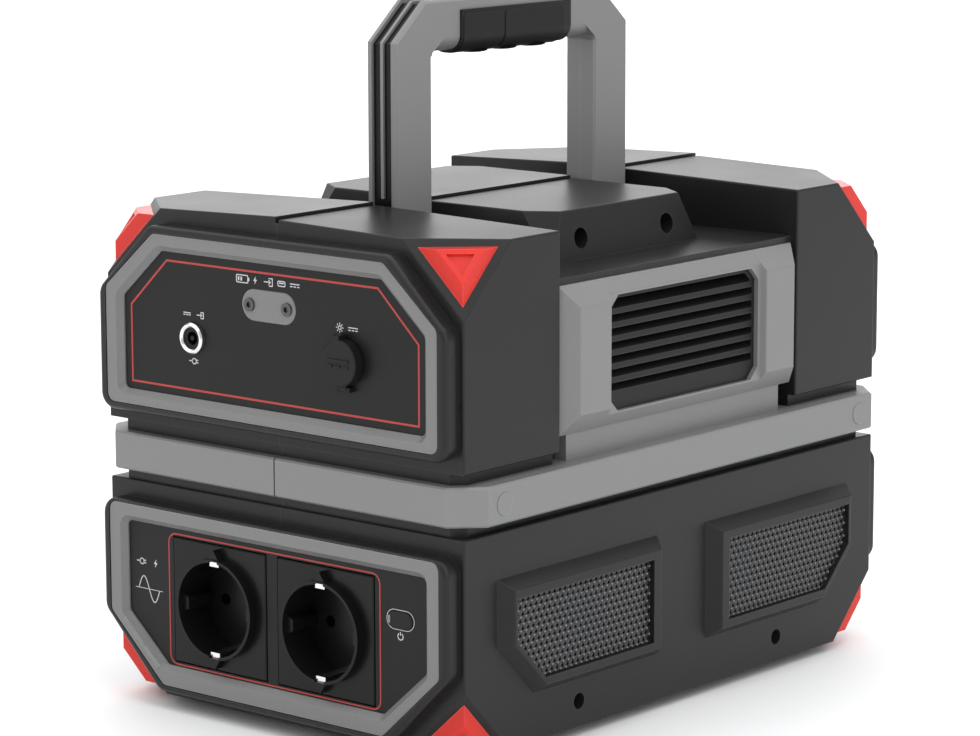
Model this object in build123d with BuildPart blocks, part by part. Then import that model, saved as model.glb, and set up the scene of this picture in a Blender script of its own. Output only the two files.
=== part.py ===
from build123d import *
import os
from collections import namedtuple
from math import atan, degrees

# A two-deck portable power station. Millimetres, floor at Z = 0, +Z up, origin under the middle of
# the case. The AC sockets face -Y, the display faces +Y, and the louvres and meshes face +X and -X.

# ---------------------------------------------------------------- overall
case_width = 195.0
case_length = 277.0
wall = 3.0
edge_round = 0.8
fit = 0.3
shaft_fit = 0.04

foot_height = 4.0
lower_height = 89.5
lower_neck = 4.5
belt_height = 16.0
upper_neck = 5.0
shelf_height = 69.0
block_height = 89.0
roof_rise = 2.0

lower_z = foot_height
lower_top_z = lower_z + lower_height
belt_z = lower_top_z + lower_neck
belt_top_z = belt_z + belt_height
upper_z = belt_top_z + upper_neck
shelf_z = upper_z + shelf_height
roof_z = upper_z + block_height
half_width = case_width / 2
half_length = case_length / 2

# ---------------------------------------------------------------- corners and bumpers
top_cut = (31.0, 28.5, 29.0)
bottom_cut = (31.0, 27.4, 28.4)
bumper_margin = 2.6
bumper_height = 5.0
bumper_dish = 1.4
bumper_dish_share = 0.52
bumper_dish_slope = 20.0

# ---------------------------------------------------------------- neck, belt and deck
neck_inset_x = 3.9
neck_inset_y = 1.7
neck_chamfer = 5.0
belt_proud_x = 5.3
belt_proud_y = 3.4
belt_chamfer = 11.8
belt_inset = 8.5
belt_edge = 0.8
tongue_depth = 6.0
belt_seam = 0.8
plug_radius = 4.6
plug_inset_y = 21.4
plug_depth = 2.0
plug_proud = 0.25

# ---------------------------------------------------------------- bezels at both ends
collar_proud = 8.0
collar_round = 2.4
pocket_depth = 6.0
panel_thickness = 2.5
ring_thickness = 3.1
ring_bevel = 2.4
ring_corner = 7.0
panel_corner = 2.5
window_inset = 3.0

# ---------------------------------------------------------------- upper deck
slot_outer = 80.0
slot_inner = 50.0
centre_inset = 9.5
shelf_inset = 3.5
shelf_lip = 2.5
mid_half_base = 68.0
mid_half_top = 64.6
mid_top_y = 48.0
mid_rise = 20.5
mid_chamfer_x = 13.1
mid_chamfer_y = 9.0
mid_base_chamfer = 1.5
seam_width = 2.0
seam_depth = 1.6
seam_step = 1.2
screw_y = 28.7
screw_rise = 8.6
screw_well = 4.35

# ---------------------------------------------------------------- vent frames and louvres
frame_gap = 1.5
riser_half = 72.0
riser_proud = 6.0
frame_rise = 6.0
frame_drop = 2.7
frame_plate = 7.0
rail_proud = 4.0
rail_slope = 5.5
pillar_proud = 6.8
pillar_inner = 52.6
pillar_bevel = 6.2
pillar_slope = 8.5
window_half = 50.0
window_rise = 6.0
window_drop = 9.5
window_corner = 5.0
louvre_recess = 2.0
louvre_depth = 7.0
louvre_border = 1.6
slat_count = 7
slat_pitch = 5.6
slat_thickness = 2.4
slat_drop = 3.2
vent_window = 4.0

# ---------------------------------------------------------------- side meshes
boss_inner_y = 16.8
boss_outer_y = 119.0
boss_low = 20.3
boss_high = 70.7
boss_corner = 22.0
boss_proud = 5.9
boss_bevel = 4.2
mesh_inner_y = 25.8
mesh_outer_y = 113.3
mesh_low = 27.7
mesh_high = 62.8
mesh_corner = 17.5
mesh_recess = 1.6
mesh_thickness = 2.0
side_screw_y = 67.7
side_screw_rise = 11.0
side_screw_well = 3.4

# ---------------------------------------------------------------- handle
pivot_rise = 11.0
handle_reach = 93.0
handle_half = 8.1
leg_outer = 76.0
leg_inner = 53.4
bar_height = 21.5
shoulder_y = 18.5
shoulder_z = 16.0
window_shoulder = 2.0
bar_round = 6.6
bar_round_run = 8.5
side_plate = 2.8
inner_wall = 2.5
core_inset = 1.5
inlay_width = 1.4
inlay_depth = 2.4
handle_edge = 1.0
grip_half_length = 36.0
grip_wall = 1.2
grip_top_drop = 4.8
pin_radius = 4.0
pin_anchor = 9.0
pin_boss = 7.5

# ---------------------------------------------------------------- AC sockets
socket_x = (-30.2, 28.5)
socket_rise = 43.5
plate_width = 52.0
plate_height = 52.5
plate_gap = 0.5
plate_proud = 0.6
collar_radius = 21.0
recess_radius = 19.7
recess_depth = 17.5
socket_proud = 4.5
socket_floor = 3.0
terminal_size = 32.0
terminal_depth = 12.0
pin_hole_radius = 2.5
pin_hole_pitch = 19.0
rib_height = 3.4
rib_root = 4.0
rib_crest = 2.4
clip_width = 5.0
clip_thickness = 1.0
clip_stand = 1.2

# ---------------------------------------------------------------- ports, buttons and display
small_edge = 0.4
rim_edge = 0.6
button_x = 68.3
button_rise = 54.4
button_width = 13.4
button_height = 7.0
button_gap = 0.2
button_proud = 0.9
button_depth = 5.0
jack_x = -42.8
jack_rise = 39.4
jack_radius = 6.4
jack_bore = 4.5
jack_proud = 2.4
jack_depth = 12.0
jack_pin = 1.0
cover_x = -0.8
cover_rise = 56.4
cover_width = 29.4
cover_height = 13.0
cover_thickness = 1.2
cover_proud = 0.25
cover_screw_pitch = 20.4
port_x = 41.0
port_rise = 39.0
port_radius = 8.0
port_bore = 4.0
port_depth = 16.0
cap_radius = 9.3
cap_stand = 0.8
cap_thickness = 4.6
cap_plug = 3.2
cap_plug_length = 3.0
strap_width = 4.0
strap_thickness = 2.0
strap_drop = 10.7
ear_thickness = 1.4
ear_height = 1.8
display_width = 74.0
display_height = 34.0
display_ledge = 3.0
display_thickness = 2.0
display_rise = 54.0
usb_pitch = 22.0
usb_width = 14.5
usb_height = 7.2
usb_rise = 22.0
usb_depth = 14.0
car_x = -30.0
car_rise = 43.5
car_radius = 14.0
car_bore = 10.5
car_depth = 46.0
car_cap_radius = 15.0
car_cap_plug = 8.5
dc_button_x = 40.0

# ---------------------------------------------------------------- inside
cell_radius = 9.15
cell_length = 65.0
cell_pitch = 19.4
cell_columns = 8
cell_rows = 7
cell_shift_y = 18.0
cell_grip = 8.0
holder_margin = 3.0
board_margin = 10.0
relay_x = 38.0
relay_plan = (22.0, 16.0)
plug_plan = (30.0, 12.0)
relay_height = 8.0
capacitor_radius = 8.0
capacitor_height = 26.0
capacitor_pitch = 24.0
board_thickness = 1.6
post_radius = 4.0
post_height = 8.0
sink_length = 90.0
sink_base = 4.0
sink_height = 34.0
sink_fins = 7
sink_fin = 1.6
sink_x = 30.0
fan_size = 50.0
fan_depth = 15.0
fan_bore = 23.5
fan_hub = 10.0
fan_blades = 7
fan_wall_gap = 0.3
core_width = 44.0
core_length = 38.0
core_height = 34.0
screw_head = 2.7
screw_head_height = 1.6
screw_shank = 1.5
screw_socket = 1.3
screw_grip = 7.0
screw_sink = 0.9
well_depth = 12.0

# ---------------------------------------------------------------- worked out
neck_x = half_width - neck_inset_x
neck_y = half_length - neck_inset_y
belt_x = half_width + belt_proud_x
belt_y = half_length + belt_proud_y
belt_in_x = half_width - belt_inset - wall
belt_in_y = half_length - belt_inset
tongue_x = belt_in_x - fit
tongue_y = belt_in_y - fit
cavity_x = tongue_x - wall
cavity_y = tongue_y - wall
centre_x = half_width - centre_inset
shelf_x = half_width - shelf_inset
mid_top_z = shelf_z + mid_rise
pivot_z = shelf_z + pivot_rise
handle_top = pivot_z + handle_reach
pocket_y = half_length + collar_proud - pocket_depth
panel_face_y = pocket_y + panel_thickness
cap_hinge_y = panel_face_y + cap_stand + strap_thickness / 2
car_strap_drop = strap_drop + car_cap_radius - cap_radius
boss_face_x = half_width + boss_proud
frame_x = centre_x + frame_plate
frame_half = slot_outer - frame_gap
frame_z = upper_z + frame_rise
frame_top_z = shelf_z - frame_drop
deck_z = belt_z + tongue_depth
deck_top_z = belt_top_z - tongue_depth

Bezel = namedtuple("Bezel", "flat_inset flat_z side_inset shoulder_z square_z")
upper_collar = Bezel(32.2, roof_z - 5.1, 2.5, roof_z - 33.4, upper_z + 5.0)
upper_ring = Bezel(34.5, roof_z - 8.0, 6.8, roof_z - 32.0, upper_z + 8.2)
upper_panel = Bezel(37.5, roof_z - 15.4, 15.0, roof_z - 35.7, upper_z + 14.4)
lower_collar = Bezel(33.7, lower_z + 3.5, 2.5, lower_z + 34.8, lower_top_z - 7.2)
lower_ring = Bezel(36.5, lower_z + 6.4, 6.5, lower_z + 34.3, lower_top_z - 8.2)
lower_panel = Bezel(37.5, lower_z + 15.0, 15.0, lower_z + 35.0, lower_top_z - 15.9)


def bezel_points(bezel, inset=0.0):
    """Six corners of a bezel outline: a flat, two slanted corners and two square ones."""
    flat = half_width - bezel.flat_inset - inset / 2
    side = half_width - bezel.side_inset - inset
    up = 1 if bezel.flat_z > bezel.square_z else -1
    flat_z = bezel.flat_z - up * inset
    shoulder = bezel.shoulder_z - up * inset / 2
    square = bezel.square_z + up * inset
    right = [(flat, flat_z), (side, shoulder), (side, square)]
    return right + [(-x, z) for x, z in reversed(right)]


def bezel_face(bezel, corner, inset=0.0):
    """Adds a bezel outline with rounded corners to the sketch that is open."""
    with BuildSketch() as outline:
        Polygon(*bezel_points(bezel, inset), align=None)
        fillet(outline.vertices(), corner)
    return outline.sketch


def end_plane(distance):
    """Plane parallel to the front end, this far from the middle; it faces -Y."""
    return Plane.XZ.offset(distance)


def corner_plane(side_x, side_y, corner_z, side_z, cut):
    """Plane across one corner of the case; it faces outwards."""
    corner = Vector(side_x * half_width, side_y * half_length, corner_z)
    on_x = corner - Vector(side_x * cut[0], 0, 0)
    on_y = corner - Vector(0, side_y * cut[1], 0)
    on_z = corner - Vector(0, 0, side_z * cut[2])
    normal = Vector(side_x / cut[0], side_y / cut[1], side_z / cut[2])
    return Plane(origin=(on_x + on_y + on_z) * (1 / 3), x_dir=on_x - on_y, z_dir=normal)


def corner_planes(top):
    """The four corner cuts of the upper deck (top) or of the lower one."""
    corner_z, side_z, cut = (roof_z, 1, top_cut) if top else (lower_z, -1, bottom_cut)
    return [corner_plane(x, y, corner_z, side_z, cut) for x in (-1, 1) for y in (-1, 1)]


def mirrored(part, plane):
    """The same piece on the other side of a plane."""
    with BuildPart() as copy:
        add(part)
        mirror(about=plane, mode=Mode.REPLACE)
    return copy


def half_of(part, side):
    """The half of a case part on one side of the moulding split at X = 0."""
    with BuildPart() as half:
        add(part)
        split(bisect_by=Plane.YZ, keep=Keep.TOP if side > 0 else Keep.BOTTOM)
    return half


def save(piece, label):
    """Labels a finished piece and writes it as one STEP file."""
    piece.part.label = label
    export_step(piece.part, f"parts/{label}.step")


# ================================================================ case shells
def mid_block(inset, base_z, top_z):
    """The raised block between the handle legs, or its cavity when inset."""
    with BuildPart() as block:
        sections = (
            (base_z, mid_half_base, slot_inner, mid_base_chamfer, mid_base_chamfer),
            (top_z, mid_half_top, mid_top_y, mid_chamfer_x, mid_chamfer_y),
        )
        for z, x, y, cut_x, cut_y in sections:
            x, y = x - inset, y - inset
            right = [(x, y - cut_y), (x - cut_x, y)]
            ring = right + [(-a, b) for a, b in reversed(right)]
            with BuildSketch(Plane.XY.offset(z)):
                Polygon(*(ring + [(-a, -b) for a, b in ring]), align=None)
        loft()
        if inset == 0:
            fillet(block.faces().sort_by(Axis.Z)[-1].edges(), edge_round)
    return block.part


def stepped_block():
    """The raised block, with its left half one seam step higher than its right half."""
    with BuildPart() as whole:
        for top, kept in ((mid_top_z, Keep.TOP), (mid_top_z + seam_step, Keep.BOTTOM)):
            with BuildPart(mode=Mode.PRIVATE) as half:
                add(mid_block(0, shelf_z, top))
                split(bisect_by=Plane.YZ, keep=kept)
            add(half.part)
    return whole.part


def upper_cavity():
    """The space inside the upper deck."""
    with BuildPart() as cavity:
        with BuildSketch(Plane.XY.offset(upper_z + wall)):
            Rectangle(case_width - 2 * wall, case_length - 2 * wall)
            Rectangle(case_width, 2 * (slot_outer + wall), mode=Mode.SUBTRACT)
        extrude(amount=block_height - 2 * wall)
        for plane in corner_planes(True):
            with BuildSketch(plane.offset(-wall)):
                Rectangle(case_length, case_length)
            extrude(amount=case_length / 2, mode=Mode.SUBTRACT)
        with BuildSketch(Plane.XY.offset(upper_z + wall)):
            Rectangle(2 * (centre_x - wall), 2 * (slot_outer + 2 * wall))
        extrude(amount=shelf_height - 2 * wall)
        with BuildSketch(Plane.XY.offset(deck_top_z)):
            Rectangle(2 * cavity_x, 2 * cavity_y)
        extrude(amount=upper_z + 2 * wall - deck_top_z)
        add(mid_block(wall, shelf_z - 2 * wall, mid_top_z - wall))
    return cavity.part


def end_collar(bezel):
    """The rounded border that stands out round the front panel of one deck."""
    with BuildPart() as collar:
        with BuildSketch(end_plane(half_length - wall)):
            add(bezel_face(bezel, ring_corner))
        extrude(amount=wall + collar_proud)
        fillet(collar.faces().sort_by(Axis.Y)[0].outer_wire().edges(), collar_round)
    return collar.part


def end_block():
    """The full-width block at the front of the upper deck, with its corners cut."""
    with BuildPart() as block:
        with BuildSketch(end_plane(slot_outer)):
            Polygon(
                (-half_width, upper_z), (half_width, upper_z), (half_width, roof_z),
                (0, roof_z + roof_rise), (0, roof_z + roof_rise + seam_step), (-half_width, roof_z),
                align=None,
            )
        extrude(amount=half_length - slot_outer)
        for plane in corner_planes(True):
            with BuildSketch(plane):
                Rectangle(case_length, case_length)
            extrude(amount=case_length / 2, mode=Mode.SUBTRACT)
        fillet(block.edges().filter_by(lambda edge: abs(edge.center().X) > 1), edge_round)
    return block.part


def upper_body():
    """Both halves of the upper deck, joined: they are split afterwards."""
    with BuildPart() as body:
        add(end_block())
        add(end_collar(upper_collar))
        mirror(about=Plane.XZ)
        with BuildSketch(Plane.XY.offset(belt_top_z)) as neck:
            Rectangle(2 * neck_x, 2 * neck_y)
            chamfer(neck.vertices(), neck_chamfer)
            with GridLocations(2 * half_width, 0, 2, 1):
                Rectangle(2 * centre_inset, 2 * slot_outer, mode=Mode.SUBTRACT)
        extrude(amount=upper_neck)
        with BuildSketch(Plane.XY.offset(deck_top_z)):
            Rectangle(2 * tongue_x, 2 * tongue_y)
        extrude(amount=tongue_depth)
        with BuildSketch(Plane.XY.offset(upper_z)):
            Rectangle(2 * centre_x, 2 * slot_outer)
        extrude(amount=shelf_height)
        with BuildSketch(Plane.XY.offset(shelf_z - shelf_lip)):
            Rectangle(2 * shelf_x, 2 * slot_outer)
        extrude(amount=shelf_lip)
        add(stepped_block())
        add(upper_cavity(), mode=Mode.SUBTRACT)
        add(pivot_bosses())
        add(pivot_holes(), mode=Mode.SUBTRACT)
        add(screw_tubes(mid_half_top - 1.0, screw_y, shelf_z + screw_rise, screw_well + 2.0))
        add(screw_holes(mid_half_top - 1.0, screw_y, shelf_z + screw_rise, screw_well), mode=Mode.SUBTRACT)
        add(end_pockets(upper_ring, upper_panel), mode=Mode.SUBTRACT)
        with BuildSketch(Plane.YZ) as vent:
            add(window_face(-vent_window))
        extrude(amount=half_width, both=True, mode=Mode.SUBTRACT)
        for top, reach in ((roof_z + roof_rise, half_length), (mid_top_z, slot_inner)):
            with BuildSketch(Plane.XY.offset(top - seam_depth)):
                Rectangle(seam_width, 2 * reach)
            extrude(amount=2 * seam_depth, mode=Mode.SUBTRACT)
    return body.part


def pivot_bosses():
    """Bosses inside the case that hold the handle pins."""
    with BuildPart() as bosses:
        for start, length in ((slot_outer, pin_anchor + wall), (mid_top_y - pin_anchor, pin_anchor)):
            with BuildSketch(end_plane(start)):
                with Locations((0, pivot_z)):
                    Circle(pin_boss)
            extrude(amount=length)
        mirror(about=Plane.XZ)
    return bosses.part


def pivot_holes():
    """Blind holes for the handle pins, through the slots into the bosses."""
    with BuildPart() as holes:
        with BuildSketch(end_plane(slot_inner - pin_anchor)):
            with Locations((0, pivot_z)):
                Circle(pin_radius + shaft_fit / 2)
        extrude(amount=slot_outer - slot_inner + 2 * pin_anchor)
        mirror(about=Plane.XZ)
    return holes.part


def screw_tubes(face_x, y, z, radius):
    """Round tubes that run in from the side walls, one for each of four screws."""
    with BuildPart() as tubes:
        with BuildSketch(Plane.YZ.offset(face_x)):
            with Locations((-y, z), (y, z)):
                Circle(radius)
        extrude(amount=-(well_depth + wall))
        mirror(about=Plane.YZ)
    return tubes.part


def screw_seat(face_x):
    """Distance from the middle of the case to the seat of a screw head in its tube."""
    return face_x - well_depth + 2 * wall


def screw_holes(face_x, y, z, radius):
    """Deep wells for the screw heads, and the holes for their shanks."""
    with BuildPart() as holes:
        with BuildSketch(Plane.YZ.offset(face_x - well_depth - 2 * wall)):
            with Locations((-y, z), (y, z)):
                Circle(screw_shank + shaft_fit)
        extrude(amount=well_depth + 2 * wall)
        with BuildSketch(Plane.YZ.offset(screw_seat(face_x))):
            with Locations((-y, z), (y, z)):
                Circle(radius)
        extrude(amount=well_depth)
        mirror(about=Plane.YZ)
    return holes.part


def end_pockets(ring, panel):
    """The pocket for panel and ring, and the window behind them, at both ends."""
    with BuildPart() as pockets:
        with BuildSketch(end_plane(pocket_y)):
            add(bezel_face(ring, ring_corner - wall))
        extrude(amount=collar_proud)
        with BuildSketch(end_plane(half_length - 2 * wall)):
            add(bezel_face(panel, panel_corner, window_inset))
        extrude(amount=4 * wall)
        mirror(about=Plane.XZ)
    return pockets.part


def lower_cavity():
    """The space inside the lower deck."""
    with BuildPart() as cavity:
        with BuildSketch(Plane.XY.offset(lower_z + wall)):
            Rectangle(case_width - 2 * wall, case_length - 2 * wall)
        extrude(amount=lower_height - 2 * wall)
        for plane in corner_planes(False):
            with BuildSketch(plane.offset(-wall)):
                Rectangle(case_length, case_length)
            extrude(amount=case_length / 2, mode=Mode.SUBTRACT)
        with BuildSketch(Plane.XY.offset(lower_top_z - 2 * wall)):
            Rectangle(2 * cavity_x, 2 * cavity_y)
        extrude(amount=deck_z - lower_top_z + 2 * wall)
    return cavity.part


def side_outline(inner, outer, low, high, corner):
    """Outline of a mesh boss on +Y, with its outer lower corner cut."""
    low, high = lower_z + low, lower_z + high
    with BuildSketch() as outline:
        Polygon(
            (inner, low), (outer - corner, low), (outer, low + corner), (outer, high), (inner, high),
            align=None,
        )
    return outline.sketch


def both_along_y(outline):
    """The same outline and its mirror image across the middle of the side."""
    return outline + outline.mirror(Plane.YZ)


def side_bosses():
    """The two bevelled bosses on the right side that carry the mesh plates."""
    outline = both_along_y(side_outline(boss_inner_y, boss_outer_y, boss_low, boss_high, boss_corner))
    with BuildPart() as bosses:
        with BuildSketch(Plane.YZ.offset(half_width)):
            add(outline)
        extrude(amount=boss_proud, taper=degrees(atan(boss_bevel / boss_proud)))
        rims = bosses.faces().filter_by(Axis.X).group_by(Axis.X)[-1].edges()
        fillet(rims, edge_round)
        with BuildSketch(Plane.YZ.offset(half_width)):
            add(outline)
        extrude(amount=-wall / 2)
    return bosses.part


def lower_body():
    """Both halves of the lower deck, joined: they are split afterwards."""
    mesh = both_along_y(side_outline(mesh_inner_y, mesh_outer_y, mesh_low, mesh_high, mesh_corner))
    with BuildPart() as body:
        with BuildSketch(Plane.XY.offset(lower_z)):
            Rectangle(case_width, case_length)
        extrude(amount=lower_height)
        for plane in corner_planes(False):
            with BuildSketch(plane):
                Rectangle(case_length, case_length)
            extrude(amount=case_length / 2, mode=Mode.SUBTRACT)
        fillet(body.edges(), edge_round)
        add(end_collar(lower_collar))
        add(end_collar(lower_collar).mirror(Plane.XZ))
        with BuildSketch(Plane.XY.offset(lower_top_z)) as neck:
            Rectangle(2 * neck_x, 2 * neck_y)
            chamfer(neck.vertices(), neck_chamfer)
        extrude(amount=lower_neck)
        with BuildSketch(Plane.XY.offset(belt_z)):
            Rectangle(2 * tongue_x, 2 * tongue_y)
        extrude(amount=tongue_depth)
        add(side_bosses())
        add(side_bosses().mirror(Plane.YZ))
        add(lower_cavity(), mode=Mode.SUBTRACT)
        add(screw_tubes(half_width - 1.0, side_screw_y, lower_z + side_screw_rise, side_screw_well + 2.0))
        add(screw_holes(half_width - 1.0, side_screw_y, lower_z + side_screw_rise, side_screw_well),
            mode=Mode.SUBTRACT)
        add(end_pockets(lower_ring, lower_panel), mode=Mode.SUBTRACT)
        for side in (-1, 1):
            seat = boss_face_x - mesh_recess - mesh_thickness
            with BuildSketch(Plane.YZ.offset(side * seat)):
                add(mesh)
            extrude(amount=side * boss_proud, mode=Mode.SUBTRACT)
            with BuildSketch(Plane.YZ.offset(side * (half_width - 2 * wall))):
                add(mesh)
                offset(amount=-wall, mode=Mode.REPLACE)
            extrude(amount=side * (2 * wall + boss_proud), mode=Mode.SUBTRACT)
    return body.part


def side_meshes():
    """Four mesh plates, each in the recess of its boss."""
    outline = both_along_y(side_outline(mesh_inner_y, mesh_outer_y, mesh_low, mesh_high, mesh_corner))
    with BuildPart() as plates:
        with BuildSketch(Plane.YZ.offset(boss_face_x - mesh_recess)):
            add(outline)
            offset(amount=-fit / 2, mode=Mode.REPLACE)
        extrude(amount=-mesh_thickness)
        mirror(about=Plane.YZ)
    return plates


def belt(side):
    """One half of the belt round the waist of the case."""
    with BuildPart() as half:
        with BuildSketch(Plane.XY.offset(belt_z)) as plan:
            Rectangle(2 * belt_x, 2 * belt_y)
            chamfer(plan.vertices(), belt_chamfer)
        extrude(amount=belt_height)
        rims = half.faces().filter_by(Axis.Z).edges()
        chamfer(rims, belt_edge)
        with BuildSketch(Plane.XY.offset(belt_z)):
            Rectangle(2 * belt_in_x, 2 * belt_in_y)
        extrude(amount=belt_height, mode=Mode.SUBTRACT)
        for face in (-1, 1):
            with BuildSketch(Plane.YZ.offset(face * (belt_x - plug_depth))):
                with GridLocations(2 * (belt_y - plug_inset_y), 0, 2, 1):
                    with Locations((0, belt_z + belt_height / 2)):
                        Circle(plug_radius + fit / 2)
            extrude(amount=face * 2 * plug_depth, mode=Mode.SUBTRACT)
        with BuildSketch(Plane.XZ):
            with Locations((0, belt_z + belt_height / 2)):
                Rectangle(belt_seam, 2 * belt_height)
        extrude(amount=case_length, both=True, mode=Mode.SUBTRACT)
        split(bisect_by=Plane.YZ, keep=Keep.TOP if side > 0 else Keep.BOTTOM)
    return half


def belt_plugs():
    """Round plugs over the belt's fixing screws."""
    with BuildPart() as plugs:
        for face in (-1, 1):
            with BuildSketch(Plane.YZ.offset(face * (belt_x - plug_depth))):
                with GridLocations(2 * (belt_y - plug_inset_y), 0, 2, 1):
                    with Locations((0, belt_z + belt_height / 2)):
                        Circle(plug_radius)
            extrude(amount=face * (plug_depth + plug_proud))
    return plugs


def bumper(plane, side_x, side_y, top):
    """A corner bumper: a triangular frustum with a dished triangle in its face."""
    corner_z, side_z, cut = (roof_z, 1, top_cut) if top else (lower_z, -1, bottom_cut)
    centre = (
        side_x * (half_width - bumper_margin - cut[0] / 2),
        side_y * (half_length - bumper_margin - cut[1] / 2),
        corner_z - side_z * (bumper_margin + cut[2] / 2),
    )
    with BuildPart() as guard:
        with Locations(centre):
            Box(*cut)
        split(bisect_by=plane, keep=Keep.TOP)
        split(bisect_by=plane.offset(bumper_height), keep=Keep.BOTTOM)
        face = guard.faces().sort_by(lambda item: plane.to_local_coords(item.center()).Z)[-1]
        corners = [plane.to_local_coords(corner.center()) for corner in face.vertices()]
        middle = sum(corners, Vector()) * (1 / len(corners))
        spots = [middle + (corner - middle) * bumper_dish_share for corner in corners]
        with BuildSketch(plane.offset(bumper_height - bumper_dish)):
            Polygon(*[(spot.X, spot.Y) for spot in spots], align=None)
        extrude(amount=2 * bumper_dish, taper=-bumper_dish_slope, mode=Mode.SUBTRACT)
        rims = guard.faces().sort_by(lambda item: plane.to_local_coords(item.center()).Z)[-1].outer_wire()
        fillet(rims.edges(), edge_round / 2)
    return guard


# ================================================================ vents
def window_face(grow=0.0):
    """Outline of the louvre window, in the plane of the side."""
    low, high = frame_z + window_rise, shelf_z - window_drop
    with BuildSketch() as window:
        with Locations((0, (low + high) / 2)):
            Rectangle(2 * (window_half + grow), high - low + 2 * grow)
        chamfer(window.vertices(), window_corner)
    return window.sketch


def side_rectangle(x, y_low, y_high, z_low, z_high):
    """A rectangle in a plane parallel to the side wall, given by its edges."""
    with BuildSketch(Plane.YZ.offset(x)) as face:
        with Locations(((y_low + y_high) / 2, (z_low + z_high) / 2)):
            Rectangle(y_high - y_low, z_high - z_low)
    return face.sketch


def vent_frame():
    """The right vent frame: riser, back plate, sloping rails and two raised pillars."""
    with BuildPart() as frame:
        riser = side_rectangle(centre_x, -riser_half, riser_half, belt_top_z, frame_z + 1)
        extrude(riser, riser_proud)
        back = side_rectangle(centre_x, -frame_half, frame_half, frame_z, frame_top_z)
        extrude(back, frame_plate)
        rail_base = side_rectangle(frame_x, -frame_half, frame_half, frame_z, frame_top_z)
        rail_face = side_rectangle(
            frame_x + rail_proud, rail_slope - frame_half, frame_half - rail_slope,
            frame_z + rail_slope, frame_top_z - rail_slope,
        )
        loft([rail_base, rail_face])
        fillet(frame.faces().sort_by(Axis.X)[-1].edges(), edge_round)
    with BuildPart() as pillar:
        pillar_base = side_rectangle(frame_x, window_half, frame_half, frame_z, frame_top_z)
        pillar_face = side_rectangle(
            frame_x + pillar_proud, pillar_inner, frame_half - pillar_bevel,
            frame_z + pillar_slope, frame_top_z - pillar_slope,
        )
        loft([pillar_base, pillar_face])
        fillet(pillar.faces().sort_by(Axis.X)[-1].edges(), edge_round)
    with BuildPart() as whole:
        add(frame)
        add(pillar)
        add(pillar.part.mirror(Plane.XZ))
        with BuildSketch(Plane.YZ.offset(centre_x)):
            add(window_face())
        extrude(amount=half_width, mode=Mode.SUBTRACT)
    return whole


def louvre():
    """The right louvre insert: a border and a stack of drooping slats."""
    face_x = frame_x + rail_proud - louvre_recess
    low = frame_z + window_rise
    with BuildPart() as insert:
        with BuildSketch(Plane.YZ.offset(face_x)):
            add(window_face(-fit / 2))
            add(window_face(-fit / 2 - louvre_border), mode=Mode.SUBTRACT)
        extrude(amount=-louvre_depth)
        top = shelf_z - window_drop - louvre_border - 1.0
        for row in range(slat_count):
            z = top - row * slat_pitch
            with BuildSketch(Plane.XZ):
                Polygon(
                    (face_x - louvre_depth, z), (face_x, z - slat_drop),
                    (face_x, z - slat_drop - slat_thickness), (face_x - louvre_depth, z - slat_thickness),
                    align=None,
                )
            extrude(amount=window_half - louvre_border / 2, both=True)
        strip_top = top - slat_count * slat_pitch + slat_thickness / 2
        strip = side_rectangle(face_x, -window_half + 1, window_half - 1, low + 1, strip_top)
        extrude(strip, -slat_thickness)
        with BuildSketch(Plane.YZ.offset(face_x)):
            Rectangle(case_length, 3 * case_length)
            add(window_face(-fit / 2), mode=Mode.SUBTRACT)
        extrude(amount=-louvre_depth, mode=Mode.SUBTRACT)
    return insert


# ================================================================ end panels
def panel_ring(ring, panel):
    """A grey bezel ring of the front, bevelled down to its panel."""
    with BuildPart() as frame:
        with BuildSketch(end_plane(panel_face_y)):
            add(bezel_face(ring, ring_corner - wall - fit, fit))
            add(bezel_face(panel, panel_corner), mode=Mode.SUBTRACT)
        extrude(amount=ring_thickness)
        face = frame.faces().sort_by(Axis.Y)[0]
        chamfer(face.inner_wires()[0].edges(), ring_bevel)
    return frame


def panel_blank(ring):
    """A panel plate of the front, still without its holes."""
    with BuildPart() as blank:
        with BuildSketch(end_plane(pocket_y)):
            add(bezel_face(ring, ring_corner - wall - fit, fit))
        extrude(amount=panel_thickness)
    return blank.part


def pill(x, z, width, height, grow=0.0):
    """A slot outline with round ends, standing at (x, z) in an end plane."""
    with BuildSketch() as shape:
        with Locations((x, z)):
            SlotOverall(width + 2 * grow, height + 2 * grow)
    return shape.sketch


def disc(x, z, radius):
    """A round outline at (x, z) in an end plane."""
    with BuildSketch() as shape:
        with Locations((x, z)):
            Circle(radius)
    return shape.sketch


def square(x, z, width, height):
    """A rectangular outline at (x, z) in an end plane."""
    with BuildSketch() as shape:
        with Locations((x, z)):
            Rectangle(width, height)
    return shape.sketch


def punch(outline):
    """Tool that cuts an outline right through a front panel."""
    with BuildPart() as tool:
        with BuildSketch(end_plane(pocket_y - wall)):
            add(outline)
        extrude(amount=3 * wall)
    return tool.part


def front_upper_panel():
    """Input panel: DC jack, service cover pocket and solar port."""
    with BuildPart() as panel:
        add(panel_blank(upper_ring))
        add(punch(disc(jack_x, upper_z + jack_rise, jack_radius + fit / 2)), mode=Mode.SUBTRACT)
        add(punch(disc(port_x, upper_z + port_rise, port_radius + fit / 2)), mode=Mode.SUBTRACT)
        add(punch(square(cover_x, upper_z + cover_rise, 10.0, 5.0)), mode=Mode.SUBTRACT)
        with Locations(*cover_screw_spots(panel_face_y)):
            Hole(screw_shank + shaft_fit)
        with BuildSketch(end_plane(panel_face_y - cover_thickness + cover_proud)):
            add(pill(cover_x, upper_z + cover_rise, cover_width, cover_height, fit / 2))
        extrude(amount=cover_thickness, mode=Mode.SUBTRACT)
        add(cap_ears(port_x, upper_z + port_rise - strap_drop))
    return panel


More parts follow.
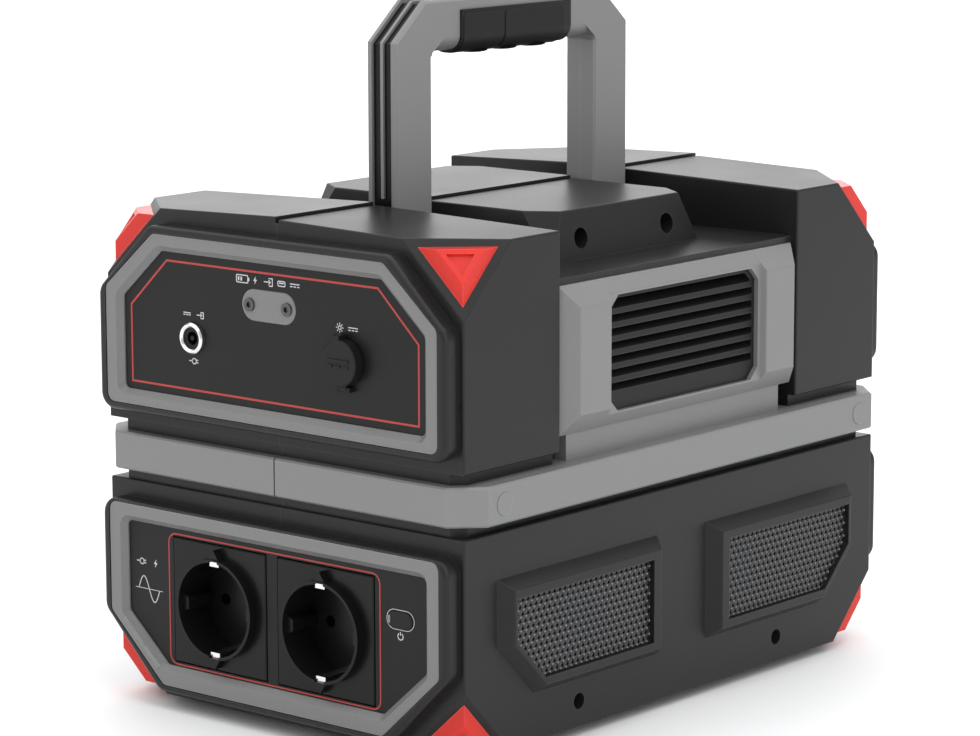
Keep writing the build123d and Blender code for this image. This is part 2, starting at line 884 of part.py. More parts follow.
def cover_screw_spots(y):
    """Places of the two service cover screws, facing -Y."""
    z = upper_z + cover_rise
    offset_x = cover_screw_pitch / 2
    return [Plane(origin=(cover_x + s * offset_x, -y, z), z_dir=(0, -1, 0)) for s in (-1, 1)]


def front_lower_panel():
    """Output panel: two socket openings and the AC button."""
    with BuildPart() as panel:
        add(panel_blank(lower_ring))
        for x in socket_x:
            width = plate_width + 2 * plate_gap
            height = plate_height + 2 * plate_gap
            add(punch(square(x, lower_z + socket_rise, width, height)), mode=Mode.SUBTRACT)
        hole = pill(button_x, lower_z + button_rise, button_width, button_height, button_gap)
        add(punch(hole), mode=Mode.SUBTRACT)
    return panel


def push_button(x, z, end=-1):
    """A pill-shaped push button in a panel of the front (-1) or the rear (1)."""
    with BuildPart() as button:
        with BuildSketch(end_plane(panel_face_y + button_proud)):
            add(pill(x, z, button_width, button_height))
        extrude(amount=-button_depth)
        chamfer(button.faces().sort_by(Axis.Y)[0].edges(), small_edge)
    return button if end < 0 else mirrored(button.part, Plane.XZ)


def ac_socket(x):
    """A protective-contact AC socket: plate, round collar and recess, terminal block behind."""
    z = lower_z + socket_rise
    face_y = panel_face_y + socket_proud
    floor_y = face_y - recess_depth
    block_y = floor_y - socket_floor
    with BuildPart() as socket:
        with BuildSketch(end_plane(pocket_y)):
            add(square(x, z, plate_width, plate_height))
        extrude(amount=panel_thickness + plate_proud)
        chamfer(socket.faces().sort_by(Axis.Y)[0].edges(), small_edge)
        with BuildSketch(end_plane(panel_face_y)):
            for side in (-1, 1):
                tip = z + side * (collar_radius + 4.0)
                Polygon((x, tip), (x - 7, z + side * 15), (x + 7, z + side * 15), align=None)
        extrude(amount=socket_proud - 0.6)
        with BuildSketch(end_plane(block_y)):
            add(disc(x, z, collar_radius))
        extrude(amount=face_y - block_y)
        with BuildSketch(end_plane(block_y)):
            add(square(x, z, terminal_size, terminal_size))
        extrude(amount=-terminal_depth)
        with BuildSketch(end_plane(floor_y)):
            add(disc(x, z, recess_radius))
        extrude(amount=2 * recess_depth, mode=Mode.SUBTRACT)
        with BuildSketch(end_plane(floor_y)):
            for side in (-1, 1):
                root = x + side * recess_radius
                crest = root - side * rib_height
                Polygon(
                    (root, z - rib_root), (root, z + rib_root), (crest, z + rib_crest), (crest, z - rib_crest),
                    align=None,
                )
        extrude(amount=recess_depth - 2.5)
        with BuildSketch(end_plane(floor_y)):
            for side in (-1, 1):
                add(disc(x + side * pin_hole_pitch / 2, z, pin_hole_radius))
        extrude(amount=-(socket_floor + terminal_depth - 2), mode=Mode.SUBTRACT)
        with BuildSketch(end_plane(floor_y)):
            for side in (-1, 1):
                add(square(x, z + side * recess_radius, clip_width + fit, 2 * (clip_thickness - 0.4)))
        extrude(amount=2 * recess_depth, mode=Mode.SUBTRACT)
    return socket


def earth_clips():
    """Sprung earth contacts at the top and bottom of each socket recess."""
    z = lower_z + socket_rise
    face_y = panel_face_y + socket_proud
    with BuildPart() as clips:
        for x in socket_x:
            for side in (-1, 1):
                outer = recess_radius + clip_thickness - 0.5
                height = clip_thickness + clip_stand
                with BuildSketch(end_plane(face_y - recess_depth)):
                    add(square(x, z + side * (outer - height / 2), clip_width, height))
                extrude(amount=recess_depth - 1.2)
    return clips


def jack_shell():
    """Threaded metal shell of the DC input jack."""
    z = upper_z + jack_rise
    with BuildPart() as shell:
        with BuildSketch(end_plane(panel_face_y + jack_proud)):
            add(disc(jack_x, z, jack_radius))
            add(disc(jack_x, z, jack_bore + shaft_fit), mode=Mode.SUBTRACT)
        extrude(amount=-jack_depth)
        rim = shell.faces().sort_by(Axis.Y)[0].edges()
        chamfer(rim, rim_edge)
        with BuildSketch(end_plane(pocket_y)):
            with Locations((jack_x, z)):
                RegularPolygon(jack_radius + 2.6, 6)
            add(disc(jack_x, z, jack_radius - 0.2), mode=Mode.SUBTRACT)
        extrude(amount=-3.0)
    return shell


def jack_insert():
    """Insulator of the DC input jack, with its centre contact."""
    z = upper_z + jack_rise
    front = panel_face_y + jack_proud - 1.4
    with BuildPart() as insert:
        with BuildSketch(end_plane(front)):
            add(disc(jack_x, z, jack_bore))
        extrude(amount=-jack_depth)
        with BuildSketch(end_plane(front - 7.0)):
            add(disc(jack_x, z, 2.8))
            add(disc(jack_x, z, jack_pin), mode=Mode.SUBTRACT)
        extrude(amount=8.0, mode=Mode.SUBTRACT)
    return insert


def service_cover():
    """Screwed cover plate over the wake-up charging port."""
    z = upper_z + cover_rise
    with BuildPart() as cover:
        with BuildSketch(end_plane(panel_face_y + cover_proud)):
            add(pill(cover_x, z, cover_width, cover_height))
        extrude(amount=-cover_thickness)
        chamfer(cover.faces().sort_by(Axis.Y)[0].edges(), small_edge)
        with Locations(*cover_screw_spots(panel_face_y + cover_proud)):
            CounterBoreHole(screw_shank + shaft_fit, screw_head + shaft_fit, screw_sink)
    return cover


def solar_port():
    """Round solar input behind the rubber cap, with the two ears of the cap's strap."""
    z = upper_z + port_rise
    with BuildPart() as port:
        with BuildSketch(end_plane(panel_face_y)):
            add(disc(port_x, z, port_radius))
            add(disc(port_x, z, port_bore), mode=Mode.SUBTRACT)
        extrude(amount=-port_depth)
        with BuildSketch(end_plane(panel_face_y - port_depth)):
            add(disc(port_x, z, port_radius))
        extrude(amount=-2.0)
    return port


def cap_ears(x, z):
    """The two ears that hold the strap of a cap, on the face of a front panel."""
    with BuildPart() as ears:
        with BuildSketch(end_plane(panel_face_y)):
            for side in (-1, 1):
                spot = x + side * (strap_width / 2 + fit + ear_thickness / 2)
                add(square(spot, z, ear_thickness, ear_height))
        extrude(amount=cap_stand + strap_thickness / 2 + ear_height / 2)
    return ears.part


def port_cap(x, z, radius, stub_radius, stub_length, drop, end=-1):
    """Rubber cap: disc, finger tab on top, plug behind and strap down to its hinge line."""
    back = panel_face_y + cap_stand
    with BuildPart() as cap:
        with BuildSketch(end_plane(back)):
            add(disc(x, z, radius))
            add(square(x - 1.5, z + radius, strap_width, 3.4))
        extrude(amount=cap_thickness)
        chamfer(cap.faces().sort_by(Axis.Y)[0].edges(), small_edge)
        with BuildSketch(end_plane(back)):
            add(square(x, z - (drop + radius - 2) / 2, strap_width, drop - radius + 2))
        extrude(amount=strap_thickness)
        with BuildSketch(Plane.YZ.offset(x)):
            with Locations((-cap_hinge_y, z - drop)):
                Circle(strap_thickness / 2)
        extrude(amount=strap_width / 2, both=True)
        with BuildSketch(end_plane(back)):
            add(disc(x, z, stub_radius))
        extrude(amount=-stub_length)
    return cap if end < 0 else mirrored(cap.part, Plane.XZ)


# ================================================================ rear panels
def rear_upper_panel():
    """Display panel with the USB outlets."""
    with BuildPart() as panel:
        add(panel_blank(upper_ring))
        ledge = 2 * display_ledge
        opening = square(0, upper_z + display_rise, display_width - ledge, display_height - ledge)
        add(punch(opening), mode=Mode.SUBTRACT)
        with BuildSketch(end_plane(panel_face_y - display_thickness + fit)):
            add(square(0, upper_z + display_rise, display_width + fit, display_height + fit))
        extrude(amount=display_thickness, mode=Mode.SUBTRACT)
        for place in usb_spots():
            slot = square(place, upper_z + usb_rise, usb_width + fit, usb_height + fit)
            add(punch(slot), mode=Mode.SUBTRACT)
    return mirrored(panel.part, Plane.XZ)


def usb_spots():
    """X places of the four USB outlets."""
    return [(index - 1.5) * usb_pitch for index in range(4)]


def usb_ports():
    """Four USB sockets behind the rear upper panel."""
    with BuildPart() as ports:
        for place in usb_spots():
            with BuildSketch(end_plane(panel_face_y - 0.2)):
                add(square(place, upper_z + usb_rise, usb_width, usb_height))
            extrude(amount=-usb_depth)
            with BuildSketch(end_plane(panel_face_y - 0.2)):
                add(square(place, upper_z + usb_rise, usb_width - 2.0, usb_height - 2.0))
            extrude(amount=2.0 - usb_depth, mode=Mode.SUBTRACT)
            with BuildSketch(end_plane(panel_face_y - 2.0)):
                add(square(place, upper_z + usb_rise + 1.0, usb_width - 4.0, 1.4))
            extrude(amount=2.0 - usb_depth)
    return mirrored(ports.part, Plane.XZ)


def display_lens():
    """Clear window over the display."""
    with BuildPart() as lens:
        with BuildSketch(end_plane(panel_face_y - display_thickness + fit)):
            add(square(0, upper_z + display_rise, display_width, display_height))
        extrude(amount=display_thickness)
        chamfer(lens.faces().sort_by(Axis.Y)[0].edges(), small_edge)
    return mirrored(lens.part, Plane.XZ)


def rear_lower_panel():
    """Car-socket panel."""
    with BuildPart() as panel:
        add(panel_blank(lower_ring))
        add(punch(disc(car_x, lower_z + car_rise, car_radius + fit / 2)), mode=Mode.SUBTRACT)
        hole = pill(dc_button_x, lower_z + car_rise, button_width, button_height, button_gap)
        add(punch(hole), mode=Mode.SUBTRACT)
        add(cap_ears(car_x, lower_z + car_rise - car_strap_drop))
    return mirrored(panel.part, Plane.XZ)


def car_socket():
    """12 V outlet: flanged barrel with a closed end."""
    z = lower_z + car_rise
    with BuildPart() as socket:
        with BuildSketch(end_plane(panel_face_y + 0.4)):
            add(disc(car_x, z, car_radius))
            add(disc(car_x, z, car_bore), mode=Mode.SUBTRACT)
        extrude(amount=-car_depth)
        with BuildSketch(end_plane(panel_face_y + 0.4 - car_depth)):
            add(disc(car_x, z, car_radius))
        extrude(amount=-3.0)
    return mirrored(socket.part, Plane.XZ)


# ================================================================ handle
def handle_outline(inset=0.0):
    """Outer outline of the upright handle with square leg ends, in the plane X = 0."""
    side, top = leg_outer - inset, handle_top - inset
    knee = inset / 2
    with BuildSketch() as outline:
        Polygon(
            (-side, pivot_z), (-side, top - shoulder_z + knee), (-side + shoulder_y - knee, top),
            (side - shoulder_y + knee, top), (side, top - shoulder_z + knee), (side, pivot_z), align=None,
        )
    return outline.sketch


def handle_window(grow=0.0):
    """Outline of the hand gap, open at the bottom."""
    side, top = leg_inner + grow, handle_top - bar_height + grow
    foot = pivot_z - 2 * pivot_rise
    knee = top - window_shoulder
    with BuildSketch() as outline:
        Polygon(
            (-side, foot), (-side, knee), (-side + window_shoulder, top),
            (side - window_shoulder, top), (side, knee), (side, foot), align=None,
        )
    return outline.sketch


def bar_rounding():
    """What is cut away to round the underside of the bar between the legs."""
    low = handle_top - bar_height
    run = leg_inner - bar_round_run
    with BuildPart() as cut:
        with BuildSketch(Plane.YZ):
            Polygon(
                (-leg_inner, low - 1), (-leg_inner, low), (-run, low + bar_round),
                (run, low + bar_round), (leg_inner, low), (leg_inner, low - 1), align=None,
            )
        extrude(amount=handle_half + 1, both=True)
        with BuildSketch(Plane.XZ) as section:
            with Locations((0, low + 2 * bar_round)):
                Rectangle(2 * handle_half, 4 * bar_round)
            fillet(section.vertices(), bar_round)
        extrude(amount=leg_inner, both=True, mode=Mode.SUBTRACT)
    return cut.part


def handle_blank():
    """The whole handle as one solid: flat bow, bevelled edges and rounded leg ends."""
    with BuildPart() as blank:
        with BuildSketch(Plane.YZ):
            add(handle_outline())
            add(handle_window(), mode=Mode.SUBTRACT)
        extrude(amount=handle_half, both=True)
        faces = blank.faces().sort_by(Axis.X)
        rims = faces[0].edges() + faces[-1].edges()
        chamfer(rims.filter_by(lambda edge: edge.center().Z > pivot_z + 1), handle_edge)
        add(bar_rounding(), mode=Mode.SUBTRACT)
        for side in (-1, 1):
            with BuildSketch(end_plane(side * leg_inner)):
                with Locations((0, pivot_z)):
                    Circle(handle_half)
            extrude(amount=side * (leg_outer - leg_inner))
        with BuildSketch(Plane.XZ):
            with Locations((0, pivot_z)):
                Circle(pin_radius + shaft_fit)
        extrude(amount=case_length / 2, both=True, mode=Mode.SUBTRACT)
    return blank.part


def core_zone(inset, half_thickness):
    """The space between the two handle shells, this far in from the outer edge."""
    with BuildPart() as zone:
        with BuildSketch(Plane.YZ):
            add(handle_outline(inset))
            with Locations((0, pivot_z)):
                Rectangle(2 * (leg_outer - inset), 2 * pivot_rise)
            add(handle_window(inner_wall), mode=Mode.SUBTRACT)
        extrude(amount=half_thickness, both=True)
    return zone.part


def handle_shell(side):
    """One grey side shell: side plate, wall round the hand gap and half of each leg end."""
    with BuildPart() as shell:
        add(handle_blank())
        add(core_zone(-1.0, handle_half - side_plate), mode=Mode.SUBTRACT)
        split(bisect_by=Plane.YZ, keep=Keep.TOP if side > 0 else Keep.BOTTOM)
    return shell


def handle_core():
    """Black core between the shells, with a groove for the inlay."""
    with BuildPart() as core:
        add(handle_blank())
        add(core_zone(core_inset, handle_half - side_plate), mode=Mode.INTERSECT)
        add(inlay_strip(0), mode=Mode.SUBTRACT)
    return core


def inlay_strip(clear):
    """The strip that runs round the outer edge of the core."""
    with BuildPart() as strip:
        with BuildSketch(Plane.YZ):
            add(handle_outline(clear))
            add(handle_outline(core_inset + inlay_depth), mode=Mode.SUBTRACT)
            with Locations((0, pivot_z)):
                Rectangle(2 * leg_outer, 2 * pivot_rise + 4, mode=Mode.SUBTRACT)
        extrude(amount=inlay_width / 2, both=True)
    return strip.part


def handle_inlay():
    """Thin grey inlay in the core's groove."""
    with BuildPart() as inlay:
        add(inlay_strip(0.3))
    return inlay


def handle_grip():
    """Rubber grip wrapped round the underside and both faces of the bar."""
    low = handle_top - bar_height
    with BuildPart() as grip:
        with BuildSketch(Plane.XZ) as section:
            with Locations((0, (low + handle_top - grip_top_drop) / 2)):
                Rectangle(2 * handle_half, bar_height - grip_top_drop)
            fillet(section.vertices(), bar_round)
            offset(amount=grip_wall, kind=Kind.ARC)
            with Locations((0, handle_top - grip_top_drop - bar_round)):
                Rectangle(2 * (handle_half + grip_wall), 2 * bar_round)
            with Locations((0, handle_top)):
                Rectangle(4 * handle_half, 2 * grip_top_drop, mode=Mode.SUBTRACT)
        extrude(amount=grip_half_length, both=True)
        add(handle_blank(), mode=Mode.SUBTRACT)
    return grip


def pivot_pins():
    """Steel pins that carry the handle legs between the case bosses."""
    with BuildPart() as pins:
        for side in (-1, 1):
            with BuildSketch(end_plane(side * (slot_inner - pin_anchor + fit))):
                with Locations((0, pivot_z)):
                    Circle(pin_radius)
            extrude(amount=side * (slot_outer - slot_inner + 2 * pin_anchor - 2 * fit))
    return pins


# ================================================================ screws and feet
def screw(seat):
    """One socket-head screw; the plane is the seat of its head and faces outwards."""
    with BuildPart() as item:
        with BuildSketch(seat):
            Circle(screw_head)
        extrude(amount=screw_head_height)
        with BuildSketch(seat):
            Circle(screw_shank)
        extrude(amount=-screw_grip)
        with BuildSketch(seat.offset(screw_head_height)):
            RegularPolygon(screw_socket, 6)
        extrude(amount=-screw_head_height * 0.6, mode=Mode.SUBTRACT)
    return item.part


def screws():
    """Eight screws in the deep wells of the side walls and two in the service cover."""
    seats = cover_screw_spots(panel_face_y + cover_proud - screw_sink)
    rows = (
        (mid_half_top - 1.0, screw_y, shelf_z + screw_rise),
        (half_width - 1.0, side_screw_y, lower_z + side_screw_rise),
    )
    for face_x, y, z in rows:
        for side in (-1, 1):
            for spot_y in (-y, y):
                seats.append(Plane(origin=(side * screw_seat(face_x), spot_y, z), z_dir=(side, 0, 0)))
    with BuildPart() as group:
        for seat in seats:
            add(screw(seat))
    return group


def feet():
    """Four rubber feet under the lower deck."""
    with BuildPart() as pads:
        with BuildSketch():
            with GridLocations(2 * (half_width - 30), 2 * (half_length - 46), 2, 2):
                SlotOverall(34, 15, rotation=90)
        extrude(amount=lower_z)
        chamfer(pads.faces().sort_by(Axis.Z)[:4].edges(), 0.8)
    return pads


# ================================================================ inside the case
def cell_grid():
    """Places of the battery cells."""
    return GridLocations(cell_pitch, cell_pitch, cell_columns, cell_rows)


def holder_plan():
    """Outer size of a cell holder."""
    margin = 2 * holder_margin
    return cell_columns * cell_pitch + margin, cell_rows * cell_pitch + margin


def battery_cells():
    """Upright cylindrical cells."""
    with BuildPart() as cells:
        with BuildSketch(Plane.XY.offset(lower_z + 2 * wall)):
            with Locations((0, cell_shift_y)):
                with cell_grid():
                    Circle(cell_radius)
        extrude(amount=cell_length)
    return cells


def cell_holders():
    """Lower and upper holder of the cells; the lower one stands on the floor of the case."""
    low = lower_z + wall
    high = lower_z + 2 * wall + cell_length - cell_grip
    with BuildPart() as holders:
        for z, closed_below in ((low, True), (high, False)):
            with BuildSketch(Plane.XY.offset(z)):
                with Locations((0, cell_shift_y)):
                    Rectangle(*holder_plan())
            extrude(amount=cell_grip + (wall if closed_below else 0))
            with BuildSketch(Plane.XY.offset(z + (wall if closed_below else -1))):
                with Locations((0, cell_shift_y)):
                    with cell_grid():
                        Circle(cell_radius + 0.1)
            extrude(amount=cell_grip + 2, mode=Mode.SUBTRACT)
    return holders


def battery_board():
    """Battery management board on top of the cells, with its relay and plug."""
    base = lower_z + 2 * wall + cell_length
    with BuildPart() as board:
        with BuildSketch(Plane.XY.offset(base)):
            with Locations((0, cell_shift_y)):
                Rectangle(holder_plan()[0] - 2 * board_margin, holder_plan()[1] - 2 * board_margin)
        extrude(amount=board_thickness)
        with BuildSketch(Plane.XY.offset(base + board_thickness)):
            with Locations((-relay_x, cell_shift_y)):
                Rectangle(*relay_plan)
            with Locations((relay_x, cell_shift_y + 30)):
                Rectangle(*plug_plan)
        extrude(amount=relay_height)
    return board


def deck_plate():
    """Plate between the decks, clamped inside the belt, with posts for the inverter board."""
    with BuildPart() as deck:
        with BuildSketch(Plane.XY.offset(deck_z)):
            Rectangle(2 * tongue_x, 2 * tongue_y)
        extrude(amount=deck_top_z - deck_z)
        with BuildSketch(Plane.XY.offset(deck_z)):
            with Locations((-cavity_x + 18, 0)):
                Rectangle(16, 60)
        extrude(amount=belt_height, mode=Mode.SUBTRACT)
        with BuildSketch(Plane.XY.offset(deck_top_z)):
            with GridLocations(2 * (sink_x + 22), 2 * (sink_length / 2 + 20), 2, 2):
                Circle(post_radius)
        extrude(amount=post_height)
    return deck


def inverter_board():
    """Main power board on the posts, with capacitors."""
    base = deck_top_z + post_height
    with BuildPart() as board:
        with BuildSketch(Plane.XY.offset(base)):
            Rectangle(2 * (sink_x + 30), 2 * (sink_length / 2 + 30))
        extrude(amount=board_thickness)
        with BuildSketch(Plane.XY.offset(base + board_thickness)):
            with GridLocations(capacitor_pitch, sink_length + 4 * capacitor_radius, 3, 2):
                Circle(capacitor_radius)
        extrude(amount=capacitor_height)
    return board


def transformer():
    """Power transformer in the middle of the board."""
    base = deck_top_z + post_height + board_thickness
    with BuildPart() as block:
        with BuildSketch(Plane.XY.offset(base)):
            Rectangle(sink_x - 4, core_length)
        extrude(amount=core_height)
        with BuildSketch(Plane.XY.offset(base + 6)):
            RectangleRounded(core_width, core_length - 12, 6)
        extrude(amount=core_height - 12)
    return block


def heat_sinks():
    """Two finned heat sinks, one behind each fan."""
    base = deck_top_z + post_height + board_thickness
    with BuildPart() as sinks:
        for side in (-1, 1):
            with BuildSketch(Plane.XY.offset(base)):
                with Locations((side * sink_x, 0)):
                    Rectangle(sink_base, sink_length)
            extrude(amount=sink_height)
            with BuildSketch(Plane.XZ):
                with Locations((side * (sink_x + 8), base + sink_height / 2)):
                    with GridLocations(0, sink_height / (sink_fins - 1) - 0.3, 1, sink_fins):
                        Rectangle(16, sink_fin)
            extrude(amount=sink_length / 2, both=True)
    return sinks


def fan_centre_z():
    """Height of the fan axes: the middle of the vent windows."""
    return (frame_z + window_rise + shelf_z - window_drop) / 2


def fan_face_x():
    """Outer face of the right fan, against the case wall."""
    return centre_x - wall


def fan_frames():
    """Square fan frames with motor mounts, one behind each vent."""
    z = fan_centre_z()
    with BuildPart() as frames:
        for side in (-1, 1):
            outer = side * fan_face_x()
            with BuildSketch(Plane.YZ.offset(outer)):
                with Locations((0, z)):
                    RectangleRounded(fan_size, fan_size, 4)
                    Circle(fan_bore, mode=Mode.SUBTRACT)
            extrude(amount=-side * fan_depth)
            with BuildSketch(Plane.YZ.offset(outer - side * fan_depth)):
                with Locations((0, z)):
                    Circle(fan_hub)
                    with PolarLocations(fan_bore / 2 + fan_hub / 2, 3):
                        Rectangle(fan_bore - fan_hub + 4, 3)
                    Rectangle(fan_size, 3)
            extrude(amount=side * 2.0)
            with BuildSketch(Plane.YZ.offset(outer - side * (fan_depth - 2.0))):
                with Locations((0, z)):
                    Circle(2.0)
            extrude(amount=side * (fan_depth - 7.0))
    return frames


def fan_rotor(side):
    """Fan rotor: cup and blades, running on the post of its frame."""
    z = fan_centre_z()
    inner = side * (fan_face_x() - fan_depth + 2.0 + fan_wall_gap)
    with BuildPart() as rotor:
        with BuildSketch(Plane.YZ.offset(inner)):
            with Locations((0, z)):
                Circle(fan_hub)
        extrude(amount=side * (fan_depth - 4.0))
        with BuildSketch(Plane.YZ.offset(inner + side)):
            with Locations((0, z)):
                with PolarLocations((fan_hub + fan_bore) / 2 - 0.6, fan_blades, start_angle=12):
                    Rectangle(fan_bore - fan_hub - 0.4, 2.2)
        extrude(amount=side * (fan_depth - 7.0))
        with BuildSketch(Plane.YZ.offset(inner)):
            with Locations((0, z)):
                Circle(2.0 + shaft_fit)
        extrude(amount=side * (fan_depth - 7.0 + fan_wall_gap), mode=Mode.SUBTRACT)
    return rotor


# ================================================================ assembly
def main():
    """Builds every piece and writes it under its own name."""
    os.makedirs("parts", exist_ok=True)
    upper, lower = upper_body(), lower_body()
    for side, name in ((-1, "left"), (1, "right")):
        save(half_of(upper, side), f"upper_case_{name}")
        save(half_of(lower, side), f"lower_case_{name}")
        save(belt(side), f"belt_{name}")
        save(handle_shell(side), f"handle_shell_{name}")
        save(fan_rotor(side), f"fan_rotor_{name}")
    save(side_meshes(), "side_meshes")
    frame, slats = vent_frame(), louvre()
    save(frame, "vent_frame_right")
    save(mirrored(frame.part, Plane.YZ), "vent_frame_left")
    save(slats, "louvre_right")
    save(mirrored(slats.part, Plane.YZ), "louvre_left")
    for top, level in ((True, "top"), (False, "bottom")):
        names = ("left_front", "left_rear", "right_front", "right_rear")
        sides = ((-1, -1), (-1, 1), (1, -1), (1, 1))
        for plane, (side_x, side_y), name in zip(corner_planes(top), sides, names):
            save(bumper(plane, side_x, side_y, top), f"bumper_{level}_{name}")
    for ring, panel, level in ((upper_ring, upper_panel, "upper"), (lower_ring, lower_panel, "lower")):
        bezel = panel_ring(ring, panel)
        save(bezel, f"front_{level}_ring")
        save(mirrored(bezel.part, Plane.XZ), f"rear_{level}_ring")
    save(front_upper_panel(), "front_upper_panel")
    save(front_lower_panel(), "front_lower_panel")
    save(rear_upper_panel(), "rear_upper_panel")
    save(rear_lower_panel(), "rear_lower_panel")
    save(ac_socket(socket_x[0]), "ac_socket_left")
    save(ac_socket(socket_x[1]), "ac_socket_right")
    save(earth_clips(), "earth_clips")
    save(push_button(button_x, lower_z + button_rise), "ac_button")
    save(push_button(dc_button_x, lower_z + car_rise, end=1), "dc_button")
    save(jack_shell(), "dc_jack_shell")
    save(jack_insert(), "dc_jack_insert")
    save(service_cover(), "service_cover")
    save(solar_port(), "solar_port")
    solar_z, car_z = upper_z + port_rise, lower_z + car_rise
    save(port_cap(port_x, solar_z, cap_radius, cap_plug, cap_plug_length, strap_drop), "solar_cap")
    save(port_cap(car_x, car_z, car_cap_radius, car_cap_plug, cap_plug_length, car_strap_drop, end=1),
         "car_socket_cap")
    save(car_socket(), "car_socket")
    save(display_lens(), "display_lens")
    save(usb_ports(), "usb_ports")
    save(handle_core(), "handle_core")
    save(handle_inlay(), "handle_inlay")
    save(handle_grip(), "handle_grip")
    save(pivot_pins(), "pivot_pins")
    save(belt_plugs(), "belt_plugs")
    save(screws(), "screws")
    save(feet(), "feet")
    save(battery_cells(), "battery_cells")
    save(cell_holders(), "cell_holders")
    save(battery_board(), "battery_board")
    save(deck_plate(), "deck_plate")
    save(inverter_board(), "inverter_board")
    save(transformer(), "transformer")
    save(heat_sinks(), "heat_sinks")
    save(fan_frames(), "fan_frames")


main()
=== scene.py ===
"""Finishes, printed marks and fine pieces of a portable power station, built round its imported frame."""

import logging
import math
from collections.abc import Callable, Sequence
from dataclasses import dataclass, field
from enum import Enum

import bmesh
import bpy
from mathutils import Matrix, Vector


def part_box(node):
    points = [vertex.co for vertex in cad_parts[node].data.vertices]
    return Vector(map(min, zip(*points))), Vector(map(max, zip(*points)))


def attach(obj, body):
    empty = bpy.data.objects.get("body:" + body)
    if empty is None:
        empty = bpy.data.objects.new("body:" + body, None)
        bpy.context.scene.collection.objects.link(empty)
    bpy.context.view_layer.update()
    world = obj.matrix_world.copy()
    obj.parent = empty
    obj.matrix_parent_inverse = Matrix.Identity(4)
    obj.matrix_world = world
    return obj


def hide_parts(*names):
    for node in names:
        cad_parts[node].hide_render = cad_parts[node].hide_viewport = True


LOG = logging.getLogger("power_station")
MM = 0.001
INK_LIFT = 0.06 * MM
EDGE_ANGLE = math.radians(35)

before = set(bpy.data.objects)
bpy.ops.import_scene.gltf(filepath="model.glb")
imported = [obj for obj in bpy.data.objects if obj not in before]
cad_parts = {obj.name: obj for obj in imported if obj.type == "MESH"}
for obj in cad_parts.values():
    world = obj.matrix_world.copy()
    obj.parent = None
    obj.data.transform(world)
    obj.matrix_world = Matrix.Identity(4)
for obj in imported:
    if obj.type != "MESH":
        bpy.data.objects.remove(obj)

Colour = tuple[float, float, float]
Point = tuple[float, float]
Place = Callable[[float, float, float], Vector]
Socket = bpy.types.NodeSocket
Tree = bpy.types.NodeTree
Piece = bpy.types.Object
Shape = bmesh.types.BMesh


# ---------------------------------------------------------------- node trees
class NodeKit:
    """Adds nodes to one node tree and links their sockets."""

    def __init__(self, tree: Tree) -> None:
        """Keeps the tree that the nodes go into."""
        self.tree = tree

    def add(
        self, kind: str, sockets: dict[int | str, object] | None = None, **settings: object
    ) -> bpy.types.Node:
        """Adds one node.

        Args:
            kind: the node type's identifier.
            sockets: a value or an output socket for each input, by name or place.
            settings: the node's own properties.

        Returns:
            The node.
        """
        node = self.tree.nodes.new(kind)
        for name, value in settings.items():
            setattr(node, name, value)
        for key, value in (sockets or {}).items():
            target = node.inputs[key]
            if isinstance(value, Socket):
                self.tree.links.new(value, target)
            else:
                target.default_value = value
        return node

    def math(self, operation: str, first: object, second: object = 0.0) -> Socket:
        """Adds a Math node on numbers or sockets and returns its value socket."""
        return self.add("ShaderNodeMath", {0: first, 1: second}, operation=operation).outputs[0]

    def noise(self, place: Socket, scale: object, detail: float, roughness: float = 0.5) -> Socket:
        """Adds a Noise Texture, whose scale may be a socket, and returns its value socket."""
        sockets = {"Vector": place, "Scale": scale, "Detail": detail, "Roughness": roughness}
        return self.add("ShaderNodeTexNoise", sockets).outputs["Fac"]

    def mix(self, share: object, first: object, second: object) -> Socket:
        """Mixes two colours by the share of the second and returns the colour socket."""
        sockets = {"Factor": share, 6: first, 7: second}
        return self.add("ShaderNodeMix", sockets, data_type="RGBA").outputs[2]

    def bump(self, strength: float, distance: float, height: Socket) -> Socket:
        """Turns a height into a normal's socket; the distance is the depth of 1, in metres."""
        sockets = {"Strength": strength, "Distance": distance, "Height": height}
        return self.add("ShaderNodeBump", sockets).outputs["Normal"]

    def repeat(self, copies: dict[str, Socket], finish: Socket, merge: float = 0.0) -> None:
        """Ends a Geometry Nodes tree with real, dressed copies of a source.

        Args:
            copies: the inputs of Instance on Points.
            finish: the material's socket.
            merge: the distance at which neighbouring points become one.
        """
        placed_copies = self.add("GeometryNodeInstanceOnPoints", copies)
        solid = self.add("GeometryNodeRealizeInstances", {"Geometry": placed_copies.outputs[0]})
        if merge:
            sockets = {"Geometry": solid.outputs[0], "Distance": merge}
            solid = self.add("GeometryNodeMergeByDistance", sockets)
        dressed = self.add("GeometryNodeSetMaterial", {"Geometry": solid.outputs[0], "Material": finish})
        self.add("NodeGroupOutput", {"Geometry": dressed.outputs[0]})


@dataclass(frozen=True)
class Port:
    """One named input or output of a node group."""

    name: str
    kind: str = "NodeSocketFloat"
    default: object = None


def open_group(name: str, kind: str, inputs: Sequence[Port], outputs: Sequence[Port]) -> NodeKit:
    """Starts a node group with named sockets.

    Args:
        name: the group's name.
        kind: ShaderNodeTree or GeometryNodeTree.
        inputs: its input sockets.
        outputs: its output sockets.

    Returns:
        A kit on the new tree.
    """
    tree = bpy.data.node_groups.new(name, kind)
    for direction, ports in (("INPUT", inputs), ("OUTPUT", outputs)):
        for port in ports:
            socket = tree.interface.new_socket(port.name, in_out=direction, socket_type=port.kind)
            if port.default is not None:
                socket.default_value = port.default
    return NodeKit(tree)


VECTOR = "NodeSocketVector"
COLOUR = "NodeSocketColor"
GEOMETRY = "NodeSocketGeometry"


